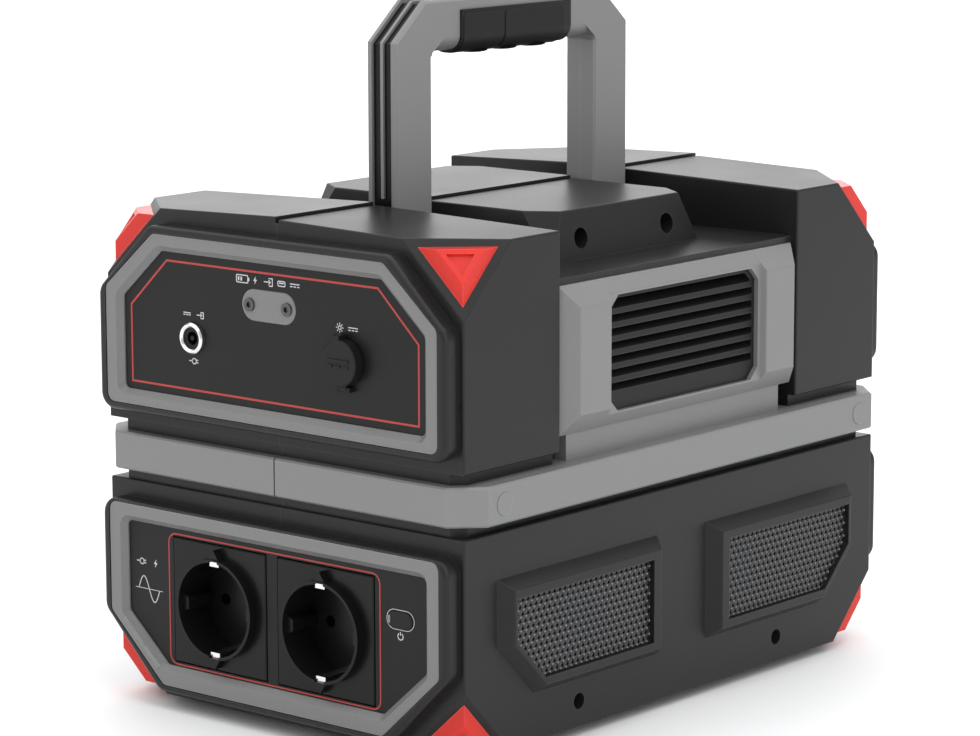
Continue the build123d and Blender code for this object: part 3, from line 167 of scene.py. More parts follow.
class Effects:
    """Shader groups that several finishes share; each is built once."""

    EDGE_GAIN = 6.0
    # Scale of the noise that breaks up the painted edge highlight.
    EDGE_BREAKUP_SCALE = 180.0

    def __init__(self) -> None:
        """Starts with no group built."""
        self.built: dict[str, Tree] = {}

    def get(self, build: Callable[[], Tree]) -> Tree:
        """Returns the tree that a static method builds, built at its first use."""
        if build.__name__ not in self.built:
            self.built[build.__name__] = build()
        return self.built[build.__name__]

    @staticmethod
    def moulded_grain() -> Tree:
        """Fine eroded grain of a moulded surface, as a height from 0 to 1."""
        kit = open_group(
            "moulded_grain",
            "ShaderNodeTree",
            [Port("Vector", VECTOR), Port("Grain Size", default=0.4 * MM)],
            [Port("Height")],
        )
        inside = kit.add("NodeGroupInput").outputs
        scale = kit.math("DIVIDE", 1.0, inside["Grain Size"])
        noise = kit.noise(inside["Vector"], scale, 1.0, roughness=0.6)
        cells = kit.add("ShaderNodeTexVoronoi", {"Vector": inside["Vector"], "Scale": scale})
        height = kit.math("ADD", noise, kit.math("MULTIPLY", cells.outputs["Distance"], 0.5))
        kit.add("NodeGroupOutput", {"Height": height})
        return kit.tree

    @staticmethod
    def surface_tone() -> Tree:
        """Slow patches and fine specks in a surface's colour and gloss."""
        kit = open_group(
            "surface_tone",
            "ShaderNodeTree",
            [
                Port("Vector", VECTOR),
                Port("Colour", COLOUR),
                Port("Colour Spread", default=0.05),
                Port("Roughness", default=0.5),
                Port("Roughness Spread", default=0.05),
                Port("Patch Size", default=40 * MM),
                Port("Speck Size", default=0.5 * MM),
            ],
            [Port("Colour", COLOUR), Port("Roughness")],
        )
        inside = kit.add("NodeGroupInput").outputs
        patch = kit.noise(inside["Vector"], kit.math("DIVIDE", 1.0, inside["Patch Size"]), 3.0)
        speck = kit.noise(inside["Vector"], kit.math("DIVIDE", 1.0, inside["Speck Size"]), 1.0)
        centred = kit.math("SUBTRACT", kit.math("ADD", patch, speck), 1.0)
        value = kit.math("ADD", 1.0, kit.math("MULTIPLY", centred, inside["Colour Spread"]))
        tint = kit.add("ShaderNodeHueSaturation", {"Color": inside["Colour"], "Value": value})
        swing = kit.math("MULTIPLY", kit.math("SUBTRACT", patch, 0.5), inside["Roughness Spread"])
        roughness = kit.math("ADD", inside["Roughness"], kit.math("MULTIPLY", swing, 2.0))
        kit.add("NodeGroupOutput", {"Colour": tint.outputs["Color"], "Roughness": roughness})
        return kit.tree

    @staticmethod
    def painted_edge_highlight() -> Tree:
        """Lightens a colour along edges: a painted highlight that stands in for light caught by the rounded
        edges.
        """
        kit = open_group(
            "painted_edge_highlight",
            "ShaderNodeTree",
            [
                Port("Vector", VECTOR),
                Port("Colour", COLOUR),
                Port("Highlight Colour", COLOUR),
                Port("Width", default=0.8 * MM),
                Port("Amount", default=0.3),
            ],
            [Port("Colour", COLOUR)],
        )
        inside = kit.add("NodeGroupInput").outputs
        # Edges found by the bevel normal get a painted highlight, a lighter colour that stands in for light
        # on them.
        rounded = kit.add("ShaderNodeBevel", {"Radius": inside["Width"]}, samples=4)
        flat = kit.add("ShaderNodeNewGeometry")
        facing = kit.add(
            "ShaderNodeVectorMath",
            {0: rounded.outputs[0], 1: flat.outputs["Normal"]},
            operation="DOT_PRODUCT",
        )
        bend = kit.math("SUBTRACT", 1.0, facing.outputs["Value"])
        edge = kit.math("MULTIPLY", bend, Effects.EDGE_GAIN)
        highlight_breakup = kit.noise(inside["Vector"], Effects.EDGE_BREAKUP_SCALE, 2.0)
        mask = kit.math("MULTIPLY", kit.math("MULTIPLY", edge, highlight_breakup), inside["Amount"])
        clamped = kit.math("MINIMUM", mask, 1.0)
        mixed = kit.mix(clamped, inside["Colour"], inside["Highlight Colour"])
        kit.add("NodeGroupOutput", {"Colour": mixed})
        return kit.tree


EFFECTS = Effects()


# ---------------------------------------------------------------- finishes
@dataclass(frozen=True)
class Finish:
    """A surface with patches, specks and grain; its subclasses add what their stuff has."""

    name: str
    colour: Colour
    roughness: float
    colour_spread: float = 0.06
    roughness_spread: float = 0.05
    patch_size: float = 40 * MM
    speck_size: float = 0.5 * MM
    grain_size: float = 0.4 * MM
    grain_depth: float = 0.02 * MM
    metallic: float = 0.0
    specular: float = 0.5
    coat: float = 0.0
    coat_roughness: float = 0.1

    def material(self) -> bpy.types.Material:
        """Builds the material.

        Returns:
            A material that reads Object coordinates.
        """
        made = bpy.data.materials.new(self.name)
        made.use_nodes = True
        made.node_tree.nodes.clear()
        kit = NodeKit(made.node_tree)
        place = kit.add("ShaderNodeTexCoord").outputs["Object"]
        colour, roughness = self.tone(kit, place)
        shader = kit.add(
            "ShaderNodeBsdfPrincipled",
            {
                "Base Color": self.pattern(kit, place, colour),
                "Roughness": roughness,
                "Metallic": self.metallic,
                "Specular IOR Level": self.specular,
                "Coat Weight": self.coat,
                "Coat Roughness": self.coat_roughness,
                "Normal": self.relief(kit, place),
            },
        )
        self.tune(shader)
        kit.add("ShaderNodeOutputMaterial", {"Surface": shader.outputs[0]})
        return made

    def tone(self, kit: NodeKit, place: Socket) -> tuple[Socket, Socket]:
        """Places the shared tone group.

        Args:
            kit: the material's tree.
            place: the coordinates.

        Returns:
            The colour socket and the roughness socket.
        """
        group = kit.add(
            "ShaderNodeGroup",
            {
                "Vector": place,
                "Colour": (*self.colour, 1.0),
                "Colour Spread": self.colour_spread,
                "Roughness": self.roughness,
                "Roughness Spread": self.roughness_spread,
                "Patch Size": self.patch_size,
                "Speck Size": self.speck_size,
            },
            node_tree=EFFECTS.get(Effects.surface_tone),
        )
        return group.outputs["Colour"], group.outputs["Roughness"]

    def pattern(self, kit: NodeKit, place: Socket, colour: Socket) -> Socket:
        """Returns the colour with this finish's own pattern; a plain finish has none."""
        return colour

    def relief(self, kit: NodeKit, place: Socket) -> Socket:
        """Adds the grain as a bump.

        Args:
            kit: the material's tree.
            place: the coordinates.

        Returns:
            The normal socket.
        """
        grain = kit.add(
            "ShaderNodeGroup",
            {"Vector": place, "Grain Size": self.grain_size},
            node_tree=EFFECTS.get(Effects.moulded_grain),
        )
        return kit.bump(1.0, self.grain_depth, grain.outputs["Height"])

    def tune(self, shader: bpy.types.Node) -> None:
        """Sets what only this finish's shader has; a plain finish has nothing to set."""


@dataclass(frozen=True)
class EdgeLitPlastic(Finish):
    """Moulded plastic with a painted highlight along its edges, standing in for light caught by the rounded
    edges.
    """

    # Colour of the painted highlight along the edges.
    edge_highlight: Colour = (0.2, 0.2, 0.21)
    edge_width: float = 0.7 * MM
    edge_amount: float = 0.35

    def pattern(self, kit: NodeKit, place: Socket, colour: Socket) -> Socket:
        """Mixes in the painted edge highlight.

        Args:
            kit: the material's tree.
            place: the coordinates.
            colour: the colour before them.

        Returns:
            The colour socket after them.
        """
        group = kit.add(
            "ShaderNodeGroup",
            {
                "Vector": place,
                "Colour": colour,
                "Highlight Colour": (*self.edge_highlight, 1.0),
                "Width": self.edge_width,
                "Amount": self.edge_amount,
            },
            node_tree=EFFECTS.get(Effects.painted_edge_highlight),
        )
        return group.outputs["Colour"]


@dataclass(frozen=True)
class BrushedMetal(Finish):
    """Turned or brushed metal with fine lines along one axis."""

    line_stretch: tuple[float, float, float] = (1.0, 60.0, 60.0)
    line_scale: float = 60.0
    line_strength: float = 0.6
    line_depth: float = 0.01 * MM

    def relief(self, kit: NodeKit, place: Socket) -> Socket:
        """Adds the brush lines as a bump.

        Args:
            kit: the material's tree.
            place: the coordinates.

        Returns:
            The normal socket.
        """
        turned = kit.add("ShaderNodeMapping", {"Vector": place, "Scale": self.line_stretch})
        lines = kit.noise(turned.outputs[0], self.line_scale, 2.0)
        return kit.bump(self.line_strength, self.line_depth, lines)


@dataclass(frozen=True)
class CircuitBoard(Finish):
    """Green solder mask with copper tracks that show as lighter lines."""

    track: Colour = (0.10, 0.36, 0.16)
    track_pitch: float = 3.2 * MM

    def pattern(self, kit: NodeKit, place: Socket, colour: Socket) -> Socket:
        """Draws the tracks.

        Args:
            kit: the material's tree.
            place: the coordinates.
            colour: the mask's colour.

        Returns:
            The colour socket with tracks.
        """
        bricks = kit.add(
            "ShaderNodeTexBrick",
            {
                "Vector": place,
                "Scale": 1.0,
                "Color1": (0.0, 0.0, 0.0, 1.0),
                "Color2": (0.15, 0.15, 0.15, 1.0),
                "Mortar": (1.0, 1.0, 1.0, 1.0),
                "Mortar Size": self.track_pitch / 8,
                "Brick Width": self.track_pitch * 2,
                "Row Height": self.track_pitch,
            },
        )
        return kit.mix(bricks.outputs["Color"], colour, (*self.track, 1.0))


@dataclass(frozen=True)
class CellSleeve(Finish):
    """Shrink sleeve with bare steel at both ends of each cell."""

    bare: Colour = (0.62, 0.62, 0.63)
    low: float = 0.0
    high: float = 1.0

    def pattern(self, kit: NodeKit, place: Socket, colour: Socket) -> Socket:
        """Bares the steel above and below the sleeve.

        Args:
            kit: the material's tree.
            place: the coordinates.
            colour: the sleeve's colour.

        Returns:
            The colour socket with bare ends.
        """
        height = kit.add("ShaderNodeSeparateXYZ", {0: place}).outputs["Z"]
        above = kit.math("GREATER_THAN", height, self.high)
        below = kit.math("LESS_THAN", height, self.low)
        return kit.mix(kit.math("ADD", above, below), colour, (*self.bare, 1.0))


@dataclass(frozen=True)
class HighlitKnuckleMesh(Finish):
    """Painted mesh whose raised knuckle tips get a painted highlight, a lighter colour standing in for
    light glinting on them; it lies square to the X axis.
    """

    # Colour of the painted highlight on the knuckle tips.
    knuckle_highlight: Colour = (0.42, 0.42, 0.43)
    tip: float = 0.1
    depth: float = 0.45 * MM
    falloff: float = 1.5

    def pattern(self, kit: NodeKit, place: Socket, colour: Socket) -> Socket:
        """Paints a highlight on the knuckle tips.

        Args:
            kit: the material's tree.
            place: the coordinates.
            colour: the paint's colour.

        Returns:
            The colour socket with the painted highlight on the tips.
        """
        across = kit.math("ABSOLUTE", kit.add("ShaderNodeSeparateXYZ", {0: place}).outputs["X"])
        rise = kit.math("DIVIDE", kit.math("SUBTRACT", across, self.tip - self.depth), self.depth)
        share = kit.math("MINIMUM", kit.math("MAXIMUM", rise, 0.0), 1.0)
        return kit.mix(kit.math("POWER", share, self.falloff), colour, (*self.knuckle_highlight, 1.0))


@dataclass(frozen=True)
class ClearLens(Finish):
    """Clear or tinted acrylic."""

    transmission: float = 1.0
    index: float = 1.49

    def tune(self, shader: bpy.types.Node) -> None:
        """Makes the shader transmit light."""
        shader.inputs["Transmission Weight"].default_value = self.transmission
        shader.inputs["IOR"].default_value = self.index


@dataclass(frozen=True)
class LitMark(Finish):
    """A lit segment behind the display window."""

    glow: float = 0.6

    def tune(self, shader: bpy.types.Node) -> None:
        """Makes the shader glow in its own colour."""
        shader.inputs["Emission Color"].default_value = (*self.colour, 1.0)
        shader.inputs["Emission Strength"].default_value = self.glow


# The lighter edge colours of these finishes are painted highlights along their edges.
BLACK_SHELL = EdgeLitPlastic(
    "black_shell",
    (0.014, 0.014, 0.0145),
    0.34,
    grain_depth=0.03 * MM,
    specular=0.24,
    edge_highlight=(0.10, 0.10, 0.105),
)
GREY_SHELL = EdgeLitPlastic(
    "grey_shell",
    (0.190, 0.190, 0.190),
    0.42,
    colour_spread=0.04,
    edge_highlight=(0.42, 0.42, 0.42),
    edge_amount=0.25,
)
GREY_RING = EdgeLitPlastic(
    "grey_ring",
    (0.165, 0.164, 0.163),
    0.34,
    colour_spread=0.04,
    edge_highlight=(0.4, 0.4, 0.4),
    edge_amount=0.25,
)
PANEL_BLACK = Finish(
    "panel_black",
    (0.010, 0.010, 0.0105),
    0.40,
    grain_size=0.6 * MM,
    grain_depth=0.01 * MM,
    specular=0.2,
)
SOCKET_BLACK = Finish("socket_black", (0.006, 0.006, 0.0063), 0.30, grain_depth=0.01 * MM, specular=0.2)
BUMPER_RED = EdgeLitPlastic(
    "bumper_red",
    (0.62, 0.022, 0.014),
    0.28,
    colour_spread=0.05,
    grain_size=1.2 * MM,
    grain_depth=0.01 * MM,
    specular=0.3,
    edge_highlight=(0.80, 0.14, 0.11),
    edge_amount=0.4,
)
LOUVRE_BLACK = EdgeLitPlastic(
    "louvre_black", (0.011, 0.011, 0.0115), 0.42, specular=0.2, edge_highlight=(0.08, 0.08, 0.08)
)
# Its knuckle tips get a painted highlight.
MESH_STEEL = HighlitKnuckleMesh(
    "mesh_steel",
    (0.035, 0.035, 0.036),
    0.34,
    metallic=0.4,
    tip=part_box("side_meshes")[1].x,
    grain_size=0.3 * MM,
    grain_depth=0.02 * MM,
)
RUBBER_BLACK = Finish(
    "rubber_black",
    (0.009, 0.009, 0.0094),
    0.50,
    specular=0.22,
    speck_size=0.4 * MM,
    grain_size=0.5 * MM,
    grain_depth=0.05 * MM,
)
NICKEL = BrushedMetal("nickel", (0.78, 0.77, 0.75), 0.22, metallic=1.0, colour_spread=0.08)
SCREW_STEEL = BrushedMetal("screw_steel", (0.10, 0.10, 0.105), 0.38, metallic=0.9)
PIN_STEEL = BrushedMetal(
    "pin_steel",
    (0.55, 0.55, 0.56),
    0.3,
    metallic=1.0,
    line_stretch=(60.0, 1.0, 60.0),
)
DISPLAY_GLASS = Finish(
    "display_glass",
    (0.010, 0.012, 0.014),
    0.08,
    roughness_spread=0.03,
    grain_depth=0.0,
    coat=1.0,
    coat_roughness=0.03,
)
BOARD_GREEN = CircuitBoard("board_green", (0.02, 0.17, 0.07), 0.35, coat=0.3)
HOLDER_BLACK = Finish("holder_black", (0.05, 0.05, 0.05), 0.55)
SINK_ALLOY = BrushedMetal(
    "sink_alloy",
    (0.70, 0.71, 0.73),
    0.35,
    metallic=1.0,
    line_stretch=(60.0, 1.0, 60.0),
)
CORE_IRON = Finish(
    "core_iron",
    (0.10, 0.085, 0.07),
    0.6,
    metallic=0.3,
    grain_size=1.0 * MM,
    grain_depth=0.08 * MM,
)
RED_INK = Finish("red_ink", (0.40, 0.028, 0.020), 0.42, colour_spread=0.12, grain_depth=0.005 * MM)
WHITE_INK = Finish("white_ink", (0.52, 0.52, 0.53), 0.5, colour_spread=0.10, grain_depth=0.005 * MM)
LENS_CLEAR = ClearLens(
    "lens_clear",
    (0.86, 0.88, 0.86),
    0.12,
    coat=0.6,
    grain_size=3.0 * MM,
    grain_depth=0.12 * MM,
)
INDICATOR = Finish("indicator", (0.16, 0.16, 0.17), 0.2, coat=0.6, grain_depth=0.01 * MM)
LIT_GREEN = LitMark("lit_green", (0.25, 0.85, 0.45), 0.3)
LIT_WHITE = LitMark("lit_white", (0.75, 0.82, 0.9), 0.3)
FLOOR_PALE = Finish(
    "floor_pale",
    (0.92, 0.92, 0.92),
    0.7,
    colour_spread=0.01,
    patch_size=0.5,
    grain_depth=0.0,
)


class Palette:
    """Builds each finish's material once and puts it on objects."""

    def __init__(self) -> None:
        """Starts with no material built."""
        self.built: dict[str, bpy.types.Material] = {}

    def get(self, finish: Finish) -> bpy.types.Material:
        """Returns a finish's material, built at its first use."""
        if finish.name not in self.built:
            self.built[finish.name] = finish.material()
        return self.built[finish.name]

    def dress(self, finish: Finish, *nodes: str) -> None:
        """Gives frame nodes a finish.

        Args:
            finish: the finish.
            nodes: the nodes' names.
        """
        for name in nodes:
            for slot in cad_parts[name].material_slots:
                slot.material = self.get(finish)
        LOG.info("%s on %s", finish.name, ", ".join(nodes))


PALETTE = Palette()


# ---------------------------------------------------------------- mesh helpers
def settle(name: str, shape: Shape, finish: Finish, body: str) -> Piece:
    """Turns a finished bmesh into a piece that rides on a body.

    Args:
        name: the piece's name.
        shape: the mesh in frame coordinates; it is freed.
        finish: its finish.
        body: the body it rides on.

    Returns:
        The piece.
    """
    bmesh.ops.recalc_face_normals(shape, faces=shape.faces)
    mesh = bpy.data.meshes.new(name)
    shape.to_mesh(mesh)
    shape.free()
    return settle_mesh(name, mesh, finish, body)


def settle_mesh(name: str, mesh: bpy.types.Mesh, finish: Finish, body: str) -> Piece:
    """Makes a piece of a plain mesh and lets it ride on a body.

    Args:
        name: the piece's name.
        mesh: the mesh in frame coordinates.
        finish: its finish.
        body: the body it rides on.

    Returns:
        The piece.
    """
    mesh.materials.clear()
    mesh.materials.append(PALETTE.get(finish))
    mesh.shade_smooth()
    mesh.set_sharp_from_angle(angle=EDGE_ANGLE)
    piece = bpy.data.objects.new(name, mesh)
    bpy.context.scene.collection.objects.link(piece)
    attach(piece, body)
    LOG.info("%s rides on %s with %d faces", name, body, len(mesh.polygons))
    return piece


def tube_between(shape: Shape, rings: Sequence[Sequence[Vector]], closed: bool) -> None:
    """Joins rings of points with quads and caps the ends of an open run.

    Args:
        shape: the mesh that the faces go into.
        rings: rings with as many points each, in order.
        closed: whether the last ring joins the first.
    """
    made = [[shape.verts.new(point) for point in ring] for ring in rings]
    count = len(made[0])
    pairs = list(zip(made, made[1:]))
    if closed:
        pairs.append((made[-1], made[0]))
    for first, second in pairs:
        for index in range(count):
            after = (index + 1) % count
            shape.faces.new((first[index], first[after], second[after], second[index]))
    if not closed:
        shape.faces.new(made[0])
        shape.faces.new(list(reversed(made[-1])))


def evaluated_mesh(piece: Piece, name: str) -> bpy.types.Mesh:
    """Returns a piece's mesh with its modifiers done.

    Args:
        piece: the object.
        name: the new mesh's name.

    Returns:
        A plain mesh.
    """
    depsgraph = bpy.context.evaluated_depsgraph_get()
    mesh = bpy.data.meshes.new_from_object(piece.evaluated_get(depsgraph), depsgraph=depsgraph)
    mesh.name = name
    return mesh


def grown_mesh(name: str, tree: Tree, values: dict[str, object]) -> bpy.types.Mesh:
    """Runs a Geometry Nodes tree and keeps only its plain result.

    Args:
        name: the new mesh's name.
        tree: the tree.
        values: a value for each named input.

    Returns:
        A plain mesh.
    """
    host = bpy.data.objects.new(name + "_host", bpy.data.meshes.new(name + "_host"))
    bpy.context.scene.collection.objects.link(host)
    modifier = host.modifiers.new("nodes", "NODES")
    modifier.node_group = tree
    for item in tree.interface.items_tree:
        if item.item_type == "SOCKET" and item.in_out == "INPUT" and item.name in values:
            modifier[item.identifier] = values[item.name]
    mesh = evaluated_mesh(host, name)
    host.modifiers.clear()
    bpy.data.objects.remove(host)
    return mesh


# ---------------------------------------------------------------- printed marks
class InkSheet:
    """Thin printed strokes that lie on one flat face; sizes are in millimetres."""

    SHARPEST = 0.3
    ARC_STEP = 18

    def __init__(self, place: Place, lift: float = INK_LIFT) -> None:
        """Starts an empty sheet.

        Args:
            place: turns (right, up, out) in metres into a point of the frame.
            lift: the ink's thickness.
        """
        self.place = place
        self.lift = lift
        self.shape = bmesh.new()

    def stroke(self, points: Sequence[Point], width: float, closed: bool = False) -> None:
        """Prints a line of constant width with mitred corners.

        Args:
            points: its corners.
            width: its width.
            closed: whether it returns to its start.
        """
        rings = []
        count = len(points)
        for index, point in enumerate(points):
            here = Vector(point)
            before = Vector(points[index - 1]) if index or closed else None
            after = Vector(points[(index + 1) % count]) if index < count - 1 or closed else None
            into = (here - before).normalized() if before is not None else (after - here).normalized()
            out = (after - here).normalized() if after is not None else into
            side = (into + out).normalized().orthogonal()
            reach = width / 2 / max(self.SHARPEST, side.dot(out.orthogonal()))
            left, right = here + side * reach, here - side * reach
            corners = ((left, 0.0), (left, self.lift), (right, self.lift), (right, 0.0))
            rings.append([self.place(spot.x * MM, spot.y * MM, out) for spot, out in corners])
        tube_between(self.shape, rings, closed)

    def arc(
        self, centre: Point, radius: float, width: float, start: float = 0.0, turn: float = 360.0
    ) -> None:
        """Prints a circle or a part of one.

        Args:
            centre: its centre.
            radius: its radius.
            width: the line's width.
            start: the first angle, in degrees.
            turn: how far it goes round, in degrees.
        """
        whole = turn >= 360.0
        steps = max(6, round(abs(turn) / self.ARC_STEP))
        angles = [math.radians(start + turn * step / steps) for step in range(steps + (0 if whole else 1))]
        points = [(centre[0] + radius * math.cos(a), centre[1] + radius * math.sin(a)) for a in angles]
        self.stroke(points, width, closed=whole)

    def patch(self, points: Sequence[Point]) -> None:
        """Prints a filled outline, given its corners in order."""
        rings = [[self.place(x * MM, y * MM, out) for x, y in points] for out in (0.0, self.lift)]
        tube_between(self.shape, rings, closed=False)

    def bar(self, centre: Point, width: float, height: float) -> None:
        """Prints a filled upright rectangle of that width and height."""
        x, y = centre
        a, b = width / 2, height / 2
        self.patch([(x - a, y - b), (x + a, y - b), (x + a, y + b), (x - a, y + b)])


def rounded_rectangle(width: float, height: float, radius: float, steps: int = 6) -> list[Point]:
    """Returns the outline of a rectangle with round corners, centred on the origin.

    Args:
        width: its width.
        height: its height.
        radius: its corners' radius.
        steps: points on each corner, less one.

    Returns:
        Its points, counter-clockwise.
    """
    points = []
    for quarter, (side_x, side_y) in enumerate(((1, 1), (-1, 1), (-1, -1), (1, -1))):
        centre = (side_x * (width / 2 - radius), side_y * (height / 2 - radius))
        for step in range(steps + 1):
            angle = math.radians(90 * (quarter + step / steps))
            points.append((centre[0] + radius * math.cos(angle), centre[1] + radius * math.sin(angle)))
    return points


def placed(points: Sequence[Point], centre: Point, scale: float = 1.0) -> list[Point]:
    """Returns an outline scaled round its own centre and moved to another."""
    return [(centre[0] + a * scale, centre[1] + b * scale) for a, b in points]


class Icon(Enum):
    """Generic signs that stand for the wording on the panels."""

    BATTERY = "battery"
    BOLT = "bolt"
    DIRECT_CURRENT = "direct_current"
    ARROW_IN = "arrow_in"
    PLUG = "plug"
    SUN = "sun"
    POWER = "power"
    WAVE = "wave"
    CABLE = "cable"


@dataclass
class IconPrinter:
    """Draws icons on an ink sheet, each about as high as `size` millimetres."""

    sheet: InkSheet
    line: float = 0.42

    def row(self, icons: Sequence[Icon], centre: Point, size: float, gap: float) -> None:
        """Draws icons side by side.

        Args:
            icons: what to draw, from left to right.
            centre: the row's centre.
            size: each icon's height.
            gap: the distance from one icon's centre to the next.
        """
        for index, icon in enumerate(icons):
            x = centre[0] + (index - (len(icons) - 1) / 2) * gap
            self.draw(icon, (x, centre[1]), size)

    def draw(self, icon: Icon, centre: Point, size: float) -> None:
        """Draws one icon of that height round a centre."""
        getattr(self, icon.value)(centre[0], centre[1], size / 2)

    def battery(self, x: float, y: float, half: float) -> None:
        """A cell outline with its terminal and two bars."""
        outline = rounded_rectangle(4.2 * half, 2 * half, 0.3 * half, 2)
        self.sheet.stroke(placed(outline, (x, y)), self.line, closed=True)
        self.sheet.bar((x + 2.45 * half, y), 0.4 * half, 0.9 * half)
        for step in (-1, 0):
            self.sheet.bar((x + step * 1.0 * half - 0.3 * half, y), 0.55 * half, 1.1 * half)

    def bolt(self, x: float, y: float, half: float) -> None:
        """A lightning flash."""
        shape = [(0.25, 1.1), (-0.65, -0.15), (-0.05, -0.15), (-0.25, -1.1), (0.65, 0.2), (0.05, 0.2)]
        for part in ((0, 1, 2, 5), (2, 3, 4, 5)):
            self.sheet.patch(placed([shape[corner] for corner in part], (x, y), half))

    def direct_current(self, x: float, y: float, half: float) -> None:
        """A bar over three dashes."""
        self.sheet.bar((x, y + 0.35 * half), 3.4 * half, self.line)
        for step in (-1, 0, 1):
            self.sheet.bar((x + step * 1.25 * half, y - 0.35 * half), 0.85 * half, self.line)

    def arrow_in(self, x: float, y: float, half: float) -> None:
        """An arrow into an open box."""
        box = [(0.2, 1.0), (1.5, 1.0), (1.5, -1.0), (0.2, -1.0)]
        shaft = [(-1.6, 0.0), (0.7, 0.0)]
        head = [(0.1, 0.6), (0.8, 0.0), (0.1, -0.6)]
        for line in (box, shaft, head):
            self.sheet.stroke(placed(line, (x, y), half), self.line)

    def plug(self, x: float, y: float, half: float) -> None:
        """A plug with two pins and its lead."""
        self.sheet.arc((x, y), 0.75 * half, self.line)
        lead = [(-0.75, 0.0), (-1.9, 0.0)]
        for line in ([(0.75, -0.35), (1.5, -0.35)], [(0.75, 0.35), (1.5, 0.35)], lead):
            self.sheet.stroke(placed(line, (x, y), half), self.line)

    def sun(self, x: float, y: float, half: float) -> None:
        """A disc with eight rays."""
        self.sheet.arc((x, y), 0.5 * half, self.line)
        for step in range(8):
            angle = math.radians(45 * step)
            start = (x + 0.85 * half * math.cos(angle), y + 0.85 * half * math.sin(angle))
            end = (x + 1.3 * half * math.cos(angle), y + 1.3 * half * math.sin(angle))
            self.sheet.stroke([start, end], self.line)

    def power(self, x: float, y: float, half: float) -> None:
        """An open ring with a bar at its top."""
        self.sheet.arc((x, y), 0.85 * half, self.line, start=120.0, turn=300.0)
        self.sheet.stroke([(x, y + 0.25 * half), (x, y + 1.15 * half)], self.line)

    def wave(self, x: float, y: float, half: float) -> None:
        """One period of a sine over its axis."""
        steps = 28
        points = [
            (x + (2 * step / steps - 1) * 1.15 * half, y + half * math.sin(2 * math.pi * step / steps))
            for step in range(steps + 1)
        ]
        self.sheet.stroke(points, self.line)
        self.sheet.stroke([(x - 1.5 * half, y), (x + 1.5 * half, y)], self.line * 0.6)

    def cable(self, x: float, y: float, half: float) -> None:
        """A connector seen from its end."""
        outline = rounded_rectangle(2.6 * half, 1.3 * half, 0.3 * half, 2)
        self.sheet.stroke(placed(outline, (x, y)), self.line, closed=True)
        self.sheet.bar((x, y + 0.15 * half), 1.7 * half, 0.35 * half)


@dataclass(frozen=True)
class EndFace:
    """One end of the case; right, up and out are as seen by someone who faces it."""

    name: str
    side: int

    def place(self, node: str, behind: bool = False) -> Place:
        """Returns a placing in metres on a node's outer face, or in the plane of its inner one."""
        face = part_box(node)[1 if (self.side > 0) != behind else 0].y
        return lambda right, up, out: Vector((-self.side * right, face + self.side * out, up))

    def centre(self, node: str) -> Point:
        """Returns a node's centre, right and up in millimetres."""
        low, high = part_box(node)
        return -self.side * (low.x + high.x) / 2 / MM, (low.z + high.z) / 2 / MM


FRONT = EndFace("front", -1)
REAR = EndFace("rear", 1)


# ---------------------------------------------------------------- case
@dataclass
class CaseShells:
    """The two decks, the belt between them, the corner bumpers and the feet."""

    ends: tuple[str, ...] = ("front", "rear")
    sides: tuple[str, ...] = ("left", "right")

    def build(self) -> None:
        """Dresses every shell; their shapes are the frame's."""
        for side in self.sides:
            PALETTE.dress(BLACK_SHELL, f"upper_case_{side}", f"lower_case_{side}")
            PALETTE.dress(GREY_SHELL, f"belt_{side}")
            for end in self.ends:
                PALETTE.dress(BUMPER_RED, f"bumper_top_{side}_{end}", f"bumper_bottom_{side}_{end}")
        for end in self.ends:
            PALETTE.dress(GREY_RING, f"{end}_upper_ring", f"{end}_lower_ring")
            PALETTE.dress(PANEL_BLACK, f"{end}_upper_panel", f"{end}_lower_panel")
        PALETTE.dress(GREY_SHELL, "belt_plugs")
        PALETTE.dress(RUBBER_BLACK, "feet")
        PALETTE.dress(SCREW_STEEL, "screws")


@dataclass
class SideVents:
    """Grey vent frames with black louvres, and the fans behind them."""

    def build(self) -> None:
        """Dresses the frames, louvres, fan housings and rotors."""
        PALETTE.dress(GREY_SHELL, "vent_frame_left", "vent_frame_right")
        PALETTE.dress(LOUVRE_BLACK, "louvre_left", "louvre_right")
        PALETTE.dress(HOLDER_BLACK, "fan_frames", "fan_rotor_left", "fan_rotor_right")


